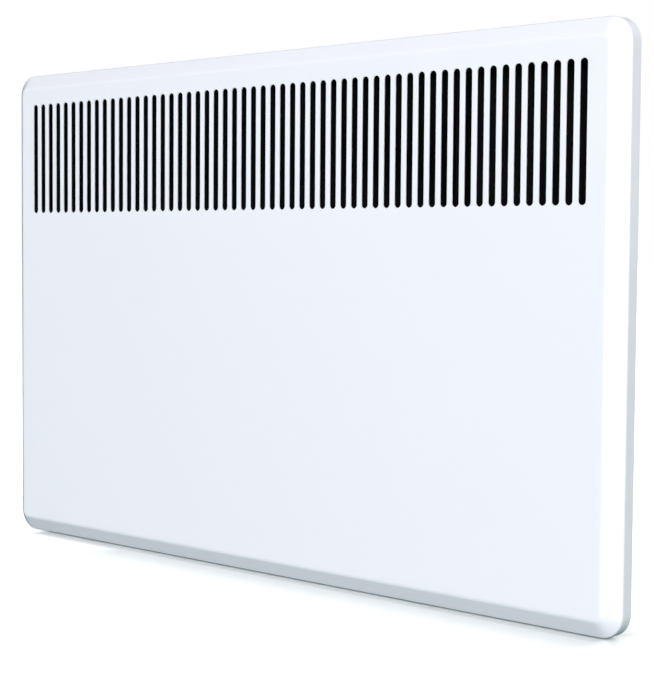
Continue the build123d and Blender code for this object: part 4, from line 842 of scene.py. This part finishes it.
def addCross(bm, shape, rim, top):
    # a grid of nine squares without its corners; its inner lines close up to the arms' width
    cross = bmesh.ops.create_grid(bm, x_segments=3, y_segments=3, size=shape["crossArm"])["verts"]
    between = shape["crossArm"] / 2  # tells the grid's inner lines from its outer ones
    for v in cross:
        for axis in (0, 1):
            if abs(v.co[axis]) < between:
                v.co[axis] = shape["crossHalf"] if v.co[axis] > 0 else -shape["crossHalf"]
        v.co.z = top
    corners = [v for v in cross if min(abs(v.co.x), abs(v.co.y)) > between]
    bmesh.ops.delete(bm, geom=corners, context="VERTS")
    plus = list(dict.fromkeys(f for v in cross if v.is_valid for f in v.link_faces))
    mouth = [e for f in plus for e in f.edges if e.is_boundary]
    bmesh.ops.triangle_fill(bm, use_beauty=True, use_dissolve=False, edges=rim + mouth, normal=(0, 0, 1))
    sunk = vertsOf(bmesh.ops.extrude_face_region(bm, geom=plus, use_keep_orig=True)["geom"])
    bmesh.ops.delete(bm, geom=plus, context="FACES_ONLY")
    bmesh.ops.translate(bm, vec=(0, 0, -shape["crossDepth"]), verts=sunk)
    bmesh.ops.scale(bm, vec=(shape["crossFloor"], shape["crossFloor"], 1), verts=sunk)


def buildScrews(shape, name, node, spots):
    low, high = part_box(node)
    head = millimetres(*shape["head"])
    headTop = head[-1][1]
    seat = high.y - headTop
    length = seat - low.y
    bm = bmesh.new()
    lathe(bm, head, shape["steps"])
    addCross(bm, shape, [e for e in bm.edges if e.is_boundary], headTop)
    shank = bmesh.ops.create_cone(bm, cap_ends=True, segments=shape["shankSteps"], radius2=shape["shank"],
                                  radius1=shape["shank"] * shape["shankTip"], depth=length)["verts"]
    bmesh.ops.translate(bm, vec=(0, 0, -length / 2), verts=shank)
    quarterTurn(bm, bm.verts, -1)
    copies(bm, [(x, seat, z) for x, z in spots])
    finishPiece(name, bm, "heater", "zinc", [node], smooth=35)


def panelScrewSpots(shape):
    spots = [(x, side * shape["rowZ"]) for x in shape["alongX"] for side in (-1, 1)]
    return spots + [(side * shape["rowX"], z) for side in (-1, 1) for z in shape["alongZ"]]


buildScrews(screwShape, "panelScrews", "panel_screws", panelScrewSpots(screwShape))
buildScrews(screwShape, "casingScrews", "casing_screws", screwShape["casingPlaces"])
print("buffers, gland and screws built")

# inlet guard: short wires across the opening, long wires welded on them
guardShape = {
    "radius": 0.0009,
    "steps": 16,
    "wireEnd": ((0, 0), (0.6, 0.05), (0.9, 0.3), (1, 0.8)),  # its rounding, as shares of the radius
    "crossCount": 8,
    "overhang": 0.002,  # how far the long wires reach past the first and last short ones
    "longHalf": 0.005,  # half the distance between the two long wires
    "weldRadius": 0.00125,
    "weldHeight": 0.0008,
    "weldSteps": (10, 6),
}


def addWire(bm, shape, start, end):
    before = set(bm.verts)
    way = Vector(end) - Vector(start)
    outline = [(r * shape["radius"], z * shape["radius"]) for r, z in shape["wireEnd"]]
    outline += [(r, way.length - z) for r, z in reversed(outline)]
    lathe(bm, outline, shape["steps"])
    fresh = [v for v in bm.verts if v not in before]
    place = Matrix.Translation(start) @ way.to_track_quat("Z", "X").to_matrix().to_4x4()
    bmesh.ops.transform(bm, matrix=place, verts=fresh)


def addWeld(bm, shape, place):
    around, upwards = shape["weldSteps"]
    bead = bmesh.ops.create_uvsphere(bm, u_segments=around, v_segments=upwards,
                                     radius=shape["weldRadius"])["verts"]
    bmesh.ops.scale(bm, vec=(1, 1, shape["weldHeight"] / shape["weldRadius"]), verts=bead)
    bmesh.ops.translate(bm, vec=place, verts=bead)


def buildGuard(shape):
    low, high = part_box("inlet_guard")
    crossZ = low.z + shape["radius"]
    longZ = crossZ + 2 * shape["radius"]
    middleY = (low.y + high.y) / 2
    first = low.x + shape["overhang"]
    pitch = (high.x - shape["overhang"] - first) / (shape["crossCount"] - 1)
    crossings = [first + i * pitch for i in range(shape["crossCount"])]
    bm = bmesh.new()
    for x in crossings:
        addWire(bm, shape, (x, low.y, crossZ), (x, high.y, crossZ))
    for y in (middleY - shape["longHalf"], middleY + shape["longHalf"]):
        addWire(bm, shape, (low.x, y, longZ), (high.x, y, longZ))
        for x in crossings:
            addWeld(bm, shape, (x, y, (crossZ + longZ) / 2))
    finishPiece("inletGuard", bm, "heater", "guard_black", ["inlet_guard"], smooth=45)


buildGuard(guardShape)
print("inlet guard built")
